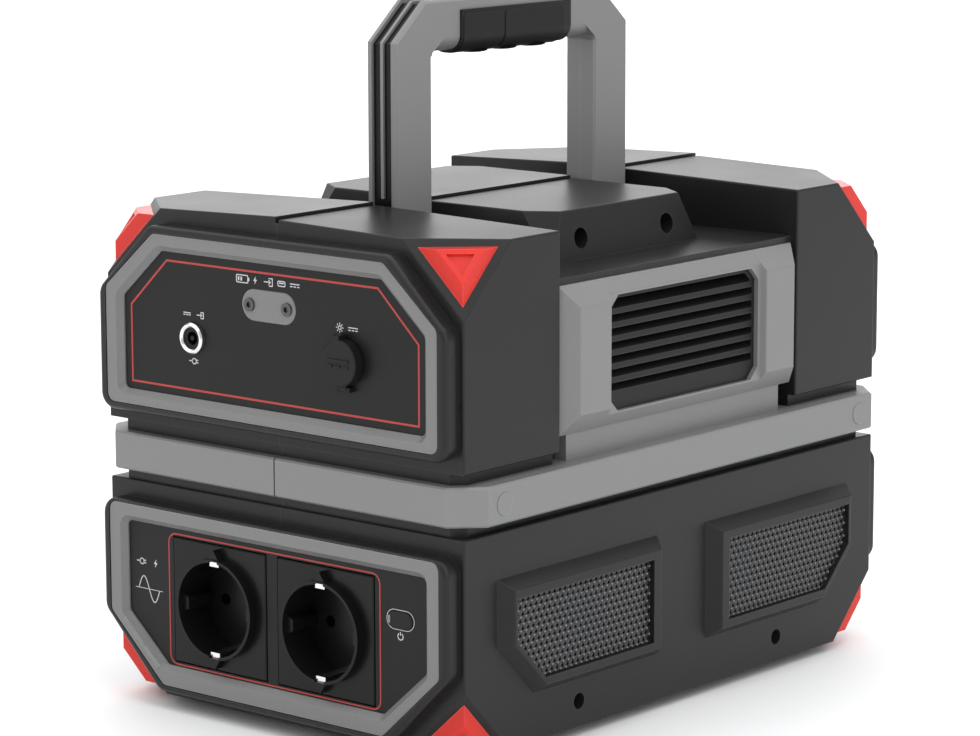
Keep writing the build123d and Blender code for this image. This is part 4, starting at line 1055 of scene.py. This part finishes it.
@dataclass
class SideMeshes:
    """Pressed steel mesh in the four side windows: staggered holes with a raised knuckle between them."""

    pitch: float = 3.3 * MM
    hole_radius: float = 0.72 * MM
    thickness: float = 1.1 * MM
    knuckle_drop: float = 0.0
    web_drop: float = 0.65 * MM
    rim_drop: float = 0.75 * MM
    tile_points: int = 12
    merge: float = 0.02 * MM

    def build(self) -> None:
        """Grows one sheet, fits it to the four windows and lets it stand for the plain plates."""
        width, height, cut = self.window()
        tile = self.tile()
        columns = math.ceil(width / self.pitch) + 2
        rows = math.ceil(height / self.row_pitch) + 3
        sheet = grown_mesh(
            "mesh_sheet",
            self.tree(),
            {
                "Columns": columns,
                "Rows": rows,
                "Pitch": self.pitch,
                "Row Pitch": self.row_pitch,
                "Tile": tile,
                "Finish": PALETTE.get(MESH_STEEL),
            },
        )
        bpy.data.objects.remove(tile)
        whole = bmesh.new()
        for side_x in (-1, 1):
            for side_y in (-1, 1):
                self.fit(whole, sheet, (width, height, cut), side_x, side_y)
        mesh = bpy.data.meshes.new("side_mesh_plates")
        whole.to_mesh(mesh)
        whole.free()
        piece = settle_mesh("side_mesh_plates", mesh, MESH_STEEL, "case")
        mesh.shade_flat()
        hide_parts("side_meshes")

    @property
    def row_pitch(self) -> float:
        """Distance between two rows of a staggered pattern."""
        return self.pitch * math.sqrt(3) / 2

    def corners(self) -> list[Vector]:
        """Vertices of the plain plates, folded into the quarter where X and Y are positive."""
        return [Vector(map(abs, v.co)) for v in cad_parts["side_meshes"].data.vertices]

    def window(self) -> tuple[float, float, Point]:
        """Measures the window that a plate fills.

        Returns:
            Its width, its height, and how far its outer low corner is cut along each.
        """
        points = self.corners()
        near, far = min(p.y for p in points), max(p.y for p in points)
        low, high = min(p.z for p in points), max(p.z for p in points)
        reach = max(p.y for p in points if p.z < low + self.merge)
        rise = min(p.z for p in points if p.y > far - self.merge)
        return far - near, high - low, (far - reach, rise - low)

    def tile(self) -> Piece:
        """Builds one six-sided tile with a round hole and every second corner raised.

        Returns:
            An object that the node tree repeats.
        """
        reach = self.pitch / math.sqrt(3)
        step_angle = 2 * math.pi / self.tile_points
        below = Vector((0, 0, self.thickness))
        rings: list[list[Vector]] = [[], [], [], []]
        for step in range(self.tile_points):
            is_corner = step % 2 == 1
            distance = reach if is_corner else reach * math.cos(step_angle)
            drop = self.knuckle_drop if step % 4 == 3 else self.web_drop
            outward = Vector((math.cos(step_angle * step), math.sin(step_angle * step), 0.0))
            rings[0].append(outward * distance - below)
            rings[1].append(outward * self.hole_radius - below)
            rings[2].append(outward * self.hole_radius - Vector((0, 0, self.rim_drop)))
            rings[3].append(outward * distance - Vector((0, 0, drop)))
        shape = bmesh.new()
        made = [[shape.verts.new(point) for point in ring] for ring in rings]
        for inner, outer in zip(made, made[1:]):
            for step in range(self.tile_points):
                after = (step + 1) % self.tile_points
                shape.faces.new((inner[after], inner[step], outer[step], outer[after]))
        mesh = bpy.data.meshes.new("mesh_tile")
        shape.to_mesh(mesh)
        shape.free()
        tile = bpy.data.objects.new("mesh_tile", mesh)
        bpy.context.scene.collection.objects.link(tile)
        return tile

    def tree(self) -> Tree:
        """Builds the node tree that repeats the tile in staggered rows.

        Returns:
            The Geometry Nodes tree.
        """
        kit = open_group(
            "staggered_sheet",
            "GeometryNodeTree",
            [
                Port("Columns", "NodeSocketInt", 10),
                Port("Rows", "NodeSocketInt", 10),
                Port("Pitch", default=self.pitch),
                Port("Row Pitch", default=self.row_pitch),
                Port("Tile", "NodeSocketObject"),
                Port("Finish", "NodeSocketMaterial"),
            ],
            [Port("Geometry", GEOMETRY)],
        )
        inside = kit.add("NodeGroupInput").outputs
        span = kit.math("MULTIPLY", kit.math("SUBTRACT", inside["Columns"], 1.0), inside["Pitch"])
        drop = kit.math("MULTIPLY", kit.math("SUBTRACT", inside["Rows"], 1.0), inside["Row Pitch"])
        grid = kit.add(
            "GeometryNodeMeshGrid",
            {"Size X": span, "Size Y": drop, "Vertices X": inside["Columns"], "Vertices Y": inside["Rows"]},
        )
        index = kit.add("GeometryNodeInputIndex").outputs[0]
        row = kit.math("MODULO", index, inside["Rows"])
        half_pitch = kit.math("MULTIPLY", inside["Pitch"], 0.5)
        shift = kit.math("MULTIPLY", kit.math("MODULO", row, 2.0), half_pitch)
        aside = kit.add("ShaderNodeCombineXYZ", {"X": shift})
        moved = kit.add(
            "GeometryNodeSetPosition", {"Geometry": grid.outputs["Mesh"], "Offset": aside.outputs[0]}
        )
        source = kit.add("GeometryNodeObjectInfo", {"Object": inside["Tile"], "As Instance": True})
        copies = {"Points": moved.outputs["Geometry"], "Instance": source.outputs["Geometry"]}
        kit.repeat(copies, inside["Finish"], self.merge)
        return kit.tree

    def fit(
        self,
        whole: Shape,
        sheet: bpy.types.Mesh,
        window: tuple[float, float, Point],
        side_x: int,
        side_y: int,
    ) -> None:
        """Cuts the sheet to one window and adds it in its place.

        Args:
            whole: the mesh that gathers the four plates.
            sheet: the uncut sheet, lying in X and Y with its face up.
            window: the window's width, height and corner cut.
            side_x: which side of the case.
            side_y: which end of the case.
        """
        width, height, (cut_along, cut_up) = window
        right, top = width / 2, height / 2
        slant = Vector((cut_up, -cut_along, 0.0)).normalized()
        along, up = Vector((1, 0, 0)), Vector((0, 1, 0))
        edges = (
            (along * right, along),
            (along * -right, -along),
            (up * top, up),
            (up * -top, -up),
            (Vector((right, -top + cut_up, 0)), slant),
        )
        plate = bmesh.new()
        plate.from_mesh(sheet)
        for spot, normal in edges:
            everything = plate.verts[:] + plate.edges[:] + plate.faces[:]
            bmesh.ops.bisect_plane(plate, geom=everything, plane_co=spot, plane_no=normal, clear_outer=True)
            rim = [edge for edge in plate.edges if edge.is_boundary]
            on_cut = [
                edge for edge in rim if all(abs((v.co - spot).dot(normal)) < self.merge for v in edge.verts)
            ]
            bmesh.ops.holes_fill(plate, edges=on_cut, sides=0)
        if side_x * side_y < 0:
            bmesh.ops.reverse_faces(plate, faces=plate.faces)
        points = self.corners()
        middle_y = (min(p.y for p in points) + max(p.y for p in points)) / 2
        low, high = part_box("side_meshes")
        middle_z = (low.z + high.z) / 2
        turn = Matrix(
            (
                (0.0, 0.0, side_x, side_x * high.x),
                (side_y, 0.0, 0.0, side_y * middle_y),
                (0.0, 1.0, 0.0, middle_z),
                (0.0, 0.0, 0.0, 1.0),
            )
        )
        plate.transform(turn)
        fitted = bpy.data.meshes.new("fitted")
        plate.to_mesh(fitted)
        plate.free()
        whole.from_mesh(fitted)
        bpy.data.meshes.remove(fitted)


# ---------------------------------------------------------------- front and rear
def settle_line(name: str, sheet: InkSheet) -> None:
    """Lets a sheet's red line ride on the case."""
    settle(name, sheet.shape, RED_INK, "case")


def settle_signs(name: str, sheet: InkSheet) -> None:
    """Lets a sheet's pale signs ride on the case."""
    settle(name, sheet.shape, WHITE_INK, "case")


@dataclass(frozen=True)
class SignRow:
    """A row of signs above or below a node; sizes in millimetres."""

    node: str
    icons: tuple[Icon, ...]
    rise: float
    size: float = 3.0
    gap: float = 8.0

    def print_on(self, printer: IconPrinter, end: EndFace) -> None:
        """Prints the row at that end of the case."""
        x, z = end.centre(self.node)
        printer.row(self.icons, (x, z + self.rise), self.size, self.gap)


@dataclass
class BezelLine:
    """Red line that follows the slanted opening of an upper ring; sizes in millimetres."""

    end: EndFace
    flat_half: float = 57.7
    side_inset: float = 11.8
    top_inset: float = 10.9
    bottom_inset: float = 9.3
    shoulder_drop: float = 20.0
    width: float = 0.85

    def build(self) -> None:
        """Prints the line on the panel's face."""
        ring = f"{self.end.name}_upper_ring"
        low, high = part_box(ring)
        side = high.x / MM - self.side_inset
        top = high.z / MM - self.top_inset
        bottom = low.z / MM + self.bottom_inset
        half = [(self.flat_half, top), (side, top - self.shoulder_drop), (side, bottom)]
        sheet = InkSheet(self.end.place(ring, behind=True))
        sheet.stroke(half + [(-x, z) for x, z in reversed(half)], self.width, closed=True)
        settle_line(f"{self.end.name}_upper_line", sheet)


@dataclass
class ButtonLamp:
    """Small lamp window in a push button's face; sizes in millimetres."""

    end: EndFace
    button: str
    aside: float = 5.3
    width: float = 1.3
    height: float = 3.2
    corner: float = 0.4

    def build(self) -> None:
        """Sets the window into the button."""
        x, z = self.end.centre(self.button)
        window = InkSheet(self.end.place(self.button))
        outline = rounded_rectangle(self.width, self.height, self.corner, 3)
        window.patch(placed(outline, (x - self.aside, z)))
        settle(f"{self.button}_indicator", window.shape, INDICATOR, self.button)


@dataclass
class FrontInputs:
    """Upper front panel: DC jack, service cover and capped solar port; sizes in millimetres."""

    signs: tuple[SignRow, ...] = (
        SignRow(
            "service_cover",
            (Icon.BATTERY, Icon.BOLT, Icon.ARROW_IN, Icon.CABLE, Icon.DIRECT_CURRENT),
            10.0,
            gap=7.2,
        ),
        SignRow("dc_jack_shell", (Icon.DIRECT_CURRENT, Icon.ARROW_IN), 9.6, 2.4, 7.5),
        SignRow("dc_jack_shell", (Icon.PLUG,), -9.6),
        SignRow("solar_port", (Icon.SUN, Icon.DIRECT_CURRENT), 13.2, gap=7.0),
    )
    cap_mark_size: float = 6.6
    cap_mark_line: float = 0.9
    cap_mark_height: float = 0.4 * MM

    def build(self) -> None:
        """Prints the panel, marks the cap and dresses the ports."""
        PALETTE.dress(NICKEL, "dc_jack_shell")
        PALETTE.dress(SOCKET_BLACK, "dc_jack_insert", "solar_port")
        PALETTE.dress(GREY_RING, "service_cover")
        PALETTE.dress(RUBBER_BLACK, "solar_cap")
        BezelLine(FRONT).build()
        sheet = InkSheet(FRONT.place("front_upper_ring", behind=True))
        for row in self.signs:
            row.print_on(IconPrinter(sheet), FRONT)
        settle_signs("front_upper_signs", sheet)
        self.cap_mark()

    def cap_mark(self) -> None:
        """Raises the direct-current sign on the solar cap."""
        sheet = InkSheet(FRONT.place("solar_cap"), lift=self.cap_mark_height)
        printer = IconPrinter(sheet, line=self.cap_mark_line)
        printer.draw(Icon.DIRECT_CURRENT, FRONT.centre("solar_port"), self.cap_mark_size)
        settle("solar_cap_mark", sheet.shape, RUBBER_BLACK, "solar_cap")


@dataclass
class FrontOutlets:
    """Lower front panel: two earthed AC sockets, their button and the clear strip; sizes in millimetres."""

    margin_x: float = 3.1
    margin_z: float = 1.4
    corner: float = 4.0
    line_width: float = 0.6
    wave_size: float = 10.6
    wave_spot: Point = (-71.3, 49.3)
    icon: float = 3.2
    icon_gap: float = 8.0
    icons_rise: float = 11.4
    button_sign_drop: float = 6.6
    button_rim: float = 0.45
    button_line: float = 0.28
    half_round_slack: float = 0.01
    half_round_steps: int = 8
    strip_start: Point = (30.7, 8.3)
    strip_end: Point = (8.2, 28.3)
    strip_shrink: float = 0.05
    strip_section: tuple[Point, ...] = (
        (0.25, -2.15),
        (2.35, 0.12),
        (4.5, 0.12),
        (4.5, 0.02),
        (2.4, 0.02),
        (0.35, -2.25),
    )

    def build(self) -> None:
        """Prints the panel, adds the strip and the lamp, and dresses the sockets."""
        PALETTE.dress(SOCKET_BLACK, "ac_socket_left", "ac_socket_right")
        PALETTE.dress(NICKEL, "earth_clips")
        PALETTE.dress(PANEL_BLACK, "ac_button")
        place = FRONT.place("front_lower_ring", behind=True)
        line = InkSheet(place)
        low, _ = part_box("ac_socket_left")
        _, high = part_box("ac_socket_right")
        outline = self.outline(low, high, (self.margin_x, self.margin_z), self.corner)
        line.stroke(outline, self.line_width, closed=True)
        settle_line("front_lower_line", line)
        self.signs(place)
        ButtonLamp(FRONT, "ac_button").build()
        self.strip()

    def outline(
        self, low: Vector, high: Vector, margin: Point, corner: float | None = None
    ) -> list[Point]:
        """Returns a rounded outline round a box.

        Args:
            low: the box's lowest corner.
            high: its highest corner.
            margin: how far the outline stands outside it, across and up.
            corner: the corners' radius; without one, the ends are half round.

        Returns:
            The points, in millimetres.
        """
        width = (high.x - low.x) / MM + 2 * margin[0]
        height = (high.z - low.z) / MM + 2 * margin[1]
        middle = ((low.x + high.x) / 2 / MM, (low.z + high.z) / 2 / MM)
        if corner is None:
            radius = height / 2 - self.half_round_slack
            return placed(rounded_rectangle(width, height, radius, self.half_round_steps), middle)
        return placed(rounded_rectangle(width, height, corner), middle)

    def signs(self, place: Place) -> None:
        """Prints the wave, the signs and the button's rim.

        Args:
            place: the placing on the panel's face.
        """
        sheet = InkSheet(place)
        printer = IconPrinter(sheet)
        across, up = self.wave_spot
        printer.draw(Icon.WAVE, self.wave_spot, self.wave_size)
        printer.row((Icon.PLUG, Icon.BOLT), (across, up + self.icons_rise), self.icon, self.icon_gap)
        SignRow("ac_button", (Icon.POWER,), -self.button_sign_drop, self.icon).print_on(printer, FRONT)
        rim = self.outline(*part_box("ac_button"), (self.button_rim, self.button_rim))
        sheet.stroke(rim, self.button_line, closed=True)
        settle_signs("front_lower_signs", sheet)

    def strip(self) -> None:
        """Lays the clear strip over the ring's slanted edge, beside the wave."""
        low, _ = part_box("front_lower_ring")
        place = FRONT.place("front_lower_ring")
        start = Vector((low.x / MM + self.strip_start[0], low.z / MM + self.strip_start[1]))
        end = Vector((low.x / MM + self.strip_end[0], low.z / MM + self.strip_end[1]))
        along = (start - end).normalized()
        outward = Vector((-along.y, along.x))
        if outward.y > 0:
            outward = -outward
        rings = []
        for share in (self.strip_shrink, 1 - self.strip_shrink):
            spot = start.lerp(end, share)
            points = [(spot + outward * distance, rise) for distance, rise in self.strip_section]
            rings.append([place(point.x * MM, point.y * MM, rise * MM) for point, rise in points])
        shape = bmesh.new()
        tube_between(shape, rings, closed=False)
        settle("corner_strip", shape, LENS_CLEAR, "case")


@dataclass
class Display:
    """Level gauge and four signs behind the display's window; sizes in millimetres."""

    gauge: tuple[float, float] = (30.0, 13.0)
    gauge_spot: float = -15.0
    gauge_corner: float = 1.6
    gauge_line: float = 0.6
    gauge_tip: tuple[float, float] = (1.4, 5.0)
    bars: int = 5
    bar_gap: float = 1.2
    bar_margin: tuple[float, float] = (1.5, 2.0)
    bar_corner: float = 0.5
    signs: tuple[tuple[float, tuple[Icon, ...]], ...] = (
        (6.0, (Icon.SUN, Icon.ARROW_IN)),
        (-6.0, (Icon.PLUG, Icon.WAVE)),
    )
    signs_spot: float = 21.0
    sign_size: float = 5.0
    sign_gap: float = 13.0
    sign_line: float = 0.55

    def build(self) -> None:
        """Lights the gauge and the signs."""
        x, z = REAR.centre("display_lens")
        place = REAR.place("display_lens")
        width, height = self.gauge
        middle = x + self.gauge_spot
        margin, foot = self.bar_margin
        step = (width - 2 * margin) / self.bars
        bar = rounded_rectangle(step - self.bar_gap, height - 2 * foot, self.bar_corner, 3)
        bars = InkSheet(place)
        for index in range(self.bars):
            bars.patch(placed(bar, (middle - width / 2 + margin + (index + 0.5) * step, z)))
        settle("display_gauge", bars.shape, LIT_GREEN, "case")
        sheet = InkSheet(place)
        outline = rounded_rectangle(width, height, self.gauge_corner)
        sheet.stroke(placed(outline, (middle, z)), self.gauge_line, closed=True)
        tip, tip_height = self.gauge_tip
        sheet.bar((middle + width / 2 + tip, z), tip, tip_height)
        for up, pair in self.signs:
            spot = (x + self.signs_spot, z + up)
            IconPrinter(sheet, line=self.sign_line).row(pair, spot, self.sign_size, self.sign_gap)
        settle("display_signs", sheet.shape, LIT_WHITE, "case")


@dataclass
class RearPanels:
    """Rear face: display, USB sockets, car socket and DC button; sizes in millimetres."""

    usb_ports: int = 4
    usb_pitches: float = 3.66  # the block of outlets is this many of their pitches wide
    usb_rise: float = 8.2
    usb_icon: float = 2.4
    usb_icon_gap: float = 5.0
    signs: tuple[SignRow, ...] = (
        SignRow("car_socket", (Icon.PLUG, Icon.DIRECT_CURRENT), 21.0),
        SignRow("dc_button", (Icon.POWER,), -7.0),
        SignRow("dc_button", (Icon.DIRECT_CURRENT,), 7.0),
    )

    def build(self) -> None:
        """Prints both panels, lights the display and dresses the outlets."""
        PALETTE.dress(DISPLAY_GLASS, "display_lens")
        PALETTE.dress(SOCKET_BLACK, "usb_ports", "car_socket")
        PALETTE.dress(RUBBER_BLACK, "car_socket_cap")
        PALETTE.dress(PANEL_BLACK, "dc_button")
        BezelLine(REAR).build()
        self.usb_signs()
        sheet = InkSheet(REAR.place("rear_lower_ring", behind=True))
        for row in self.signs:
            row.print_on(IconPrinter(sheet), REAR)
        settle_signs("rear_lower_signs", sheet)
        ButtonLamp(REAR, "dc_button").build()
        Display().build()

    def usb_signs(self) -> None:
        """Prints a cable above each USB outlet, and a flash beside every second one."""
        sheet = InkSheet(REAR.place("rear_upper_ring", behind=True))
        x, z = REAR.centre("usb_ports")
        low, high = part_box("usb_ports")
        pitch = (high.x - low.x) / MM / self.usb_pitches
        for index in range(self.usb_ports):
            icons = (Icon.CABLE, Icon.BOLT) if index % 2 else (Icon.CABLE,)
            spot = (x + (index - (self.usb_ports - 1) / 2) * pitch, z + self.usb_rise)
            IconPrinter(sheet).row(icons, spot, self.usb_icon, self.usb_icon_gap)
        settle_signs("rear_upper_signs", sheet)


# ---------------------------------------------------------------- handle
@dataclass(frozen=True)
class GripSection:
    """Section of the grip: down one side, round two corners and up the other."""

    half: float
    low: float
    top: float
    corner: float

    @property
    def side(self) -> float:
        """Length of one straight side."""
        return self.top - self.low - self.corner

    @property
    def turn(self) -> float:
        """Length of one corner."""
        return math.pi / 2 * self.corner

    @property
    def floor(self) -> float:
        """Length of the straight underside."""
        return 2 * (self.half - self.corner)

    @property
    def length(self) -> float:
        """Length of the whole section line."""
        return 2 * (self.side + self.turn) + self.floor

    def at(self, along: float, out: float) -> Point:
        """Returns the point at a distance along the line.

        Args:
            along: distance from the top of the +X side.
            out: distance outside the line.

        Returns:
            X and Z.
        """
        centre = (self.half - self.corner, self.low + self.corner)
        reach = self.corner + out
        if along <= self.side:
            return self.half + out, self.top - along
        along -= self.side
        if along <= self.turn:
            angle = along / self.corner
            return centre[0] + reach * math.cos(angle), centre[1] - reach * math.sin(angle)
        along -= self.turn
        if along <= self.floor:
            return centre[0] - along, self.low - out
        along -= self.floor
        if along <= self.turn:
            angle = along / self.corner
            return -centre[0] - reach * math.sin(angle), centre[1] - reach * math.cos(angle)
        return -self.half - out, centre[1] + along - self.turn


@dataclass
class CarryHandle:
    """Folding handle: shells, core, edge inlay and a rubber grip with two raised pads."""

    corner: float = 7.8 * MM
    wall: float = 1.15 * MM
    end_round: float = 0.8 * MM
    end_angles: tuple[int, ...] = (0, 30, 60, 90)
    pad_height: float = 0.45 * MM
    pad_root: float = -0.2 * MM
    pad_edge: float = 0.25 * MM
    pad_corner: float = 2.6 * MM
    pad_corner_angles: tuple[int, ...] = (0, 15, 30, 45, 60, 75)
    pad_margin: float = 1.6 * MM
    groove: float = 0.7 * MM
    short_pad: float = 26.0 * MM
    far_rim: float = 5.6 * MM
    near_rim: float = 0.9 * MM
    ridge_count: int = 3
    ridge_pitch: float = 19.0 * MM
    ridge_size: tuple[float, float, float] = (6.4 * MM, 7.0 * MM, 0.9 * MM)
    ridge_segments: int = 24
    ridge_rings: int = 12
    rows: int = 40

    def build(self) -> None:
        """Dresses the shells and builds the grip."""
        PALETTE.dress(GREY_SHELL, "handle_shell_left", "handle_shell_right", "handle_inlay")
        PALETTE.dress(SOCKET_BLACK, "handle_core")
        PALETTE.dress(PIN_STEEL, "pivot_pins")
        low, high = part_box("handle_grip")
        section = GripSection(high.x, low.z, high.z, self.corner)
        shape = bmesh.new()
        self.sleeve(shape, section, low.y, high.y)
        split = low.y + self.near_rim + self.short_pad
        self.pad(shape, section, low.y + self.near_rim, split)
        self.pad(shape, section, split + self.groove, high.y - self.far_rim)
        grip = settle("rubber_grip", shape, RUBBER_BLACK, "handle")
        ridges = self.ridges(low.z - self.pad_height / 2)
        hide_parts("handle_grip")
        LOG.info("%s has %d ridges", ridges.name, self.ridge_count)

    def sleeve(self, shape: Shape, section: GripSection, start: float, end: float) -> None:
        """Builds the sleeve with rounded ends.

        Args:
            shape: the mesh that it goes into.
            section: the outer section.
            start: Y of its front end.
            end: Y of its rear end.
        """
        stops = [section.length * row / self.rows for row in range(self.rows + 1)]
        stations = []
        for angle in self.end_angles:
            turn = math.radians(angle)
            stations.append((self.end_round * (1 - math.cos(turn)), self.end_round * (math.sin(turn) - 1)))
        ends = [(start + inset, out) for inset, out in stations]
        ends += [(end - inset, out) for inset, out in reversed(stations)]
        rings = []
        for y, out in ends:
            outer = [section.at(stop, out) for stop in stops]
            inner = [section.at(stop, -self.wall) for stop in reversed(stops)]
            rings.append([Vector((x, y, z)) for x, z in outer + inner])
        tube_between(shape, rings, closed=False)

    def pad(self, shape: Shape, section: GripSection, start: float, end: float) -> None:
        """Wraps one raised pad with round corners over the sleeve.

        Args:
            shape: the mesh that it goes into.
            section: the sleeve's outer section.
            start: Y of its front edge.
            end: Y of its rear edge.
        """
        shoulder = self.pad_height - self.pad_edge
        layers = []
        for out, inset in ((self.pad_root, 0.0), (shoulder, 0.0), (self.pad_height, self.pad_edge)):
            corner = self.pad_corner - inset
            first, last = self.pad_margin + inset, section.length - self.pad_margin - inset
            near = [corner * (1 - math.cos(math.radians(angle))) for angle in self.pad_corner_angles]
            run = last - first
            middle = [corner + (run - 2 * corner) * row / self.rows for row in range(self.rows + 1)]
            stops = near + middle + [run - stop for stop in reversed(near)]
            rows = []
            for stop in stops:
                depth = max(0.0, corner - min(stop, run - stop))
                bite = corner - math.sqrt(max(0.0, corner**2 - depth**2))
                x, z = section.at(first + stop, out)
                rows.append((Vector((x, start + inset + bite, z)), Vector((x, end - inset - bite, z))))
            layers.append(rows)
        self.close_layers(shape, layers)

    @staticmethod
    def close_layers(shape: Shape, layers: list[list[tuple[Vector, Vector]]]) -> None:
        """Joins the layers of a pad into a closed skin.

        Args:
            shape: the mesh that the faces go into.
            layers: from the lowest to the highest, rows of a front and a rear point.
        """
        made = [[(shape.verts.new(a), shape.verts.new(b)) for a, b in rows] for rows in layers]
        for rows in (made[0], made[-1]):
            for (a, b), (c, d) in zip(rows, rows[1:]):
                shape.faces.new((a, b, d, c))
        for lower, upper in zip(made, made[1:]):
            for side in (0, 1):
                for (a, b), (c, d) in zip(zip(lower, upper), zip(lower[1:], upper[1:])):
                    shape.faces.new((a[side], c[side], d[side], b[side]))
            for row in (0, -1):
                shape.faces.new((lower[row][0], lower[row][1], upper[row][1], upper[row][0]))

    def ridges(self, level: float) -> Piece:
        """Grows the finger ridges under the grip.

        Args:
            level: Z of their middle.

        Returns:
            The piece.
        """
        kit = open_group(
            "finger_ridges",
            "GeometryNodeTree",
            [
                Port("Count", "NodeSocketInt", 3),
                Port("Pitch", default=self.ridge_pitch),
                Port("Size", VECTOR),
                Port("Finish", "NodeSocketMaterial"),
            ],
            [Port("Geometry", GEOMETRY)],
        )
        inside = kit.add("NodeGroupInput").outputs
        step = kit.add("ShaderNodeCombineXYZ", {"Y": inside["Pitch"]})
        reach = kit.math("MULTIPLY", kit.math("SUBTRACT", inside["Count"], 1.0), -0.5)
        start = kit.add("ShaderNodeCombineXYZ", {"Y": kit.math("MULTIPLY", reach, inside["Pitch"])})
        line = kit.add(
            "GeometryNodeMeshLine",
            {"Count": inside["Count"], "Start Location": start.outputs[0], "Offset": step.outputs[0]},
        )
        bump = kit.add(
            "GeometryNodeMeshUVSphere",
            {"Segments": self.ridge_segments, "Rings": self.ridge_rings, "Radius": 1.0},
        )
        copies = {"Points": line.outputs[0], "Instance": bump.outputs[0], "Scale": inside["Size"]}
        kit.repeat(copies, inside["Finish"])
        values = {
            "Count": self.ridge_count,
            "Pitch": self.ridge_pitch,
            "Size": self.ridge_size,
            "Finish": PALETTE.get(RUBBER_BLACK),
        }
        mesh = grown_mesh("grip_ridges", kit.tree, values)
        mesh.transform(Matrix.Translation((0.0, 0.0, level)))
        return settle_mesh("grip_ridges", mesh, RUBBER_BLACK, "handle")


# ---------------------------------------------------------------- inside
@dataclass
class PowerCore:
    """Battery, boards, transformer and heat sinks inside the case."""

    sleeve_margin: float = 1.2 * MM

    def build(self) -> None:
        """Dresses the inner pieces."""
        low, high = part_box("battery_cells")
        sleeve = CellSleeve(
            "cell_sleeve",
            (0.03, 0.13, 0.36),
            0.35,
            low=low.z + self.sleeve_margin,
            high=high.z - self.sleeve_margin,
            grain_depth=0.01 * MM,
        )
        PALETTE.dress(sleeve, "battery_cells")
        PALETTE.dress(HOLDER_BLACK, "cell_holders", "deck_plate")
        PALETTE.dress(BOARD_GREEN, "battery_board", "inverter_board")
        PALETTE.dress(CORE_IRON, "transformer")
        PALETTE.dress(SINK_ALLOY, "heat_sinks")


# ---------------------------------------------------------------- studio
@dataclass(frozen=True)
class SoftBox:
    """One rectangular studio light."""

    name: str
    spot: tuple[float, float, float]
    size: float
    power: float
    colour: Colour = (1.0, 1.0, 1.0)

    def build(self, aim: Vector) -> None:
        """Makes the light and turns it towards a point."""
        lamp = bpy.data.lights.new(self.name, "AREA")
        lamp.shape = "SQUARE"
        lamp.size = self.size
        lamp.energy = self.power
        lamp.color = self.colour
        holder = bpy.data.objects.new(self.name, lamp)
        holder.location = self.spot
        holder.rotation_euler = (aim - Vector(self.spot)).to_track_quat("-Z", "Y").to_euler()
        bpy.context.scene.collection.objects.link(holder)


@dataclass
class Studio:
    """Pale floor, soft lights and the camera."""

    floor_half: float = 9.0
    aim: tuple[float, float, float] = (0.0, 0.0, 0.14)
    camera_spot: tuple[float, float, float] = (0.9920, -1.1815, 0.4081)
    azimuth: float = 40.2
    elevation: float = 10.18
    roll: float = -0.11
    lens: float = 134.19
    nearest: float = 0.01
    world_strength: float = 0.62
    world_colour: Colour = (0.97, 0.98, 1.0)
    ceiling_strength: float = 1.9
    ceiling_spread: float = 100.0
    boxes: tuple[SoftBox, ...] = field(
        default_factory=lambda: (
            SoftBox("top_light", (0.1, 0.3, 2.1), 1.8, 8.0),
            SoftBox("right_light", (2.2, -0.5, 1.0), 1.4, 13.0),
            SoftBox("left_light", (-1.2, -2.2, 1.0), 1.4, 10.0),
            SoftBox("rear_light", (-2.6, 3.1, 0.95), 3.0, 34.0),
        )
    )

    def build(self) -> None:
        """Makes the floor, the lights, the world and the camera."""
        shape = bmesh.new()
        half = self.floor_half
        corners = [(-half, -half), (half, -half), (half, half), (-half, half)]
        shape.faces.new([shape.verts.new((x, y, 0.0)) for x, y in corners])
        mesh = bpy.data.meshes.new("floor")
        shape.to_mesh(mesh)
        shape.free()
        mesh.materials.append(PALETTE.get(FLOOR_PALE))
        floor = bpy.data.objects.new("floor", mesh)
        bpy.context.scene.collection.objects.link(floor)
        for box in self.boxes:
            box.build(Vector(self.aim))
        lamp = bpy.data.lights.new("ceiling_light", "SUN")
        lamp.energy = self.ceiling_strength
        lamp.angle = math.radians(self.ceiling_spread)
        bpy.context.scene.collection.objects.link(bpy.data.objects.new("ceiling_light", lamp))
        world = bpy.data.worlds.new("studio")
        world.use_nodes = True
        sky = world.node_tree.nodes["Background"]
        sky.inputs["Color"].default_value = (*self.world_colour, 1.0)
        sky.inputs["Strength"].default_value = self.world_strength
        bpy.context.scene.world = world
        bpy.context.scene.view_settings.view_transform = "Standard"
        self.camera()

    def camera(self) -> None:
        """Makes the camera and chooses it."""
        turn, lift, tilt = (math.radians(a) for a in (self.azimuth, self.elevation, self.roll))
        reach = math.cos(lift)
        forward = Vector((-math.sin(turn) * reach, math.cos(turn) * reach, -math.sin(lift)))
        level = Vector((math.cos(turn), math.sin(turn), 0.0))
        upright = level.cross(forward)
        right = level * math.cos(tilt) + upright * math.sin(tilt)
        up = upright * math.cos(tilt) - level * math.sin(tilt)
        lens = bpy.data.cameras.new("camera")
        lens.lens = self.lens
        lens.clip_start = self.nearest
        holder = bpy.data.objects.new("camera", lens)
        turned = Matrix((right, up, -forward)).transposed().to_4x4()
        holder.matrix_world = Matrix.Translation(self.camera_spot) @ turned
        bpy.context.scene.collection.objects.link(holder)
        bpy.context.scene.camera = holder


def main() -> None:
    """Builds and dresses every sub-assembly, then the studio."""
    logging.basicConfig(level=logging.INFO, format="%(message)s")
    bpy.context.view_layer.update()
    parts = (
        CaseShells(),
        SideVents(),
        SideMeshes(),
        FrontInputs(),
        FrontOutlets(),
        RearPanels(),
        CarryHandle(),
        PowerCore(),
    )
    for part in parts:
        part.build()
        LOG.info("%s is done", type(part).__name__)
    Studio().build()


if __name__ == "__main__":
    main()
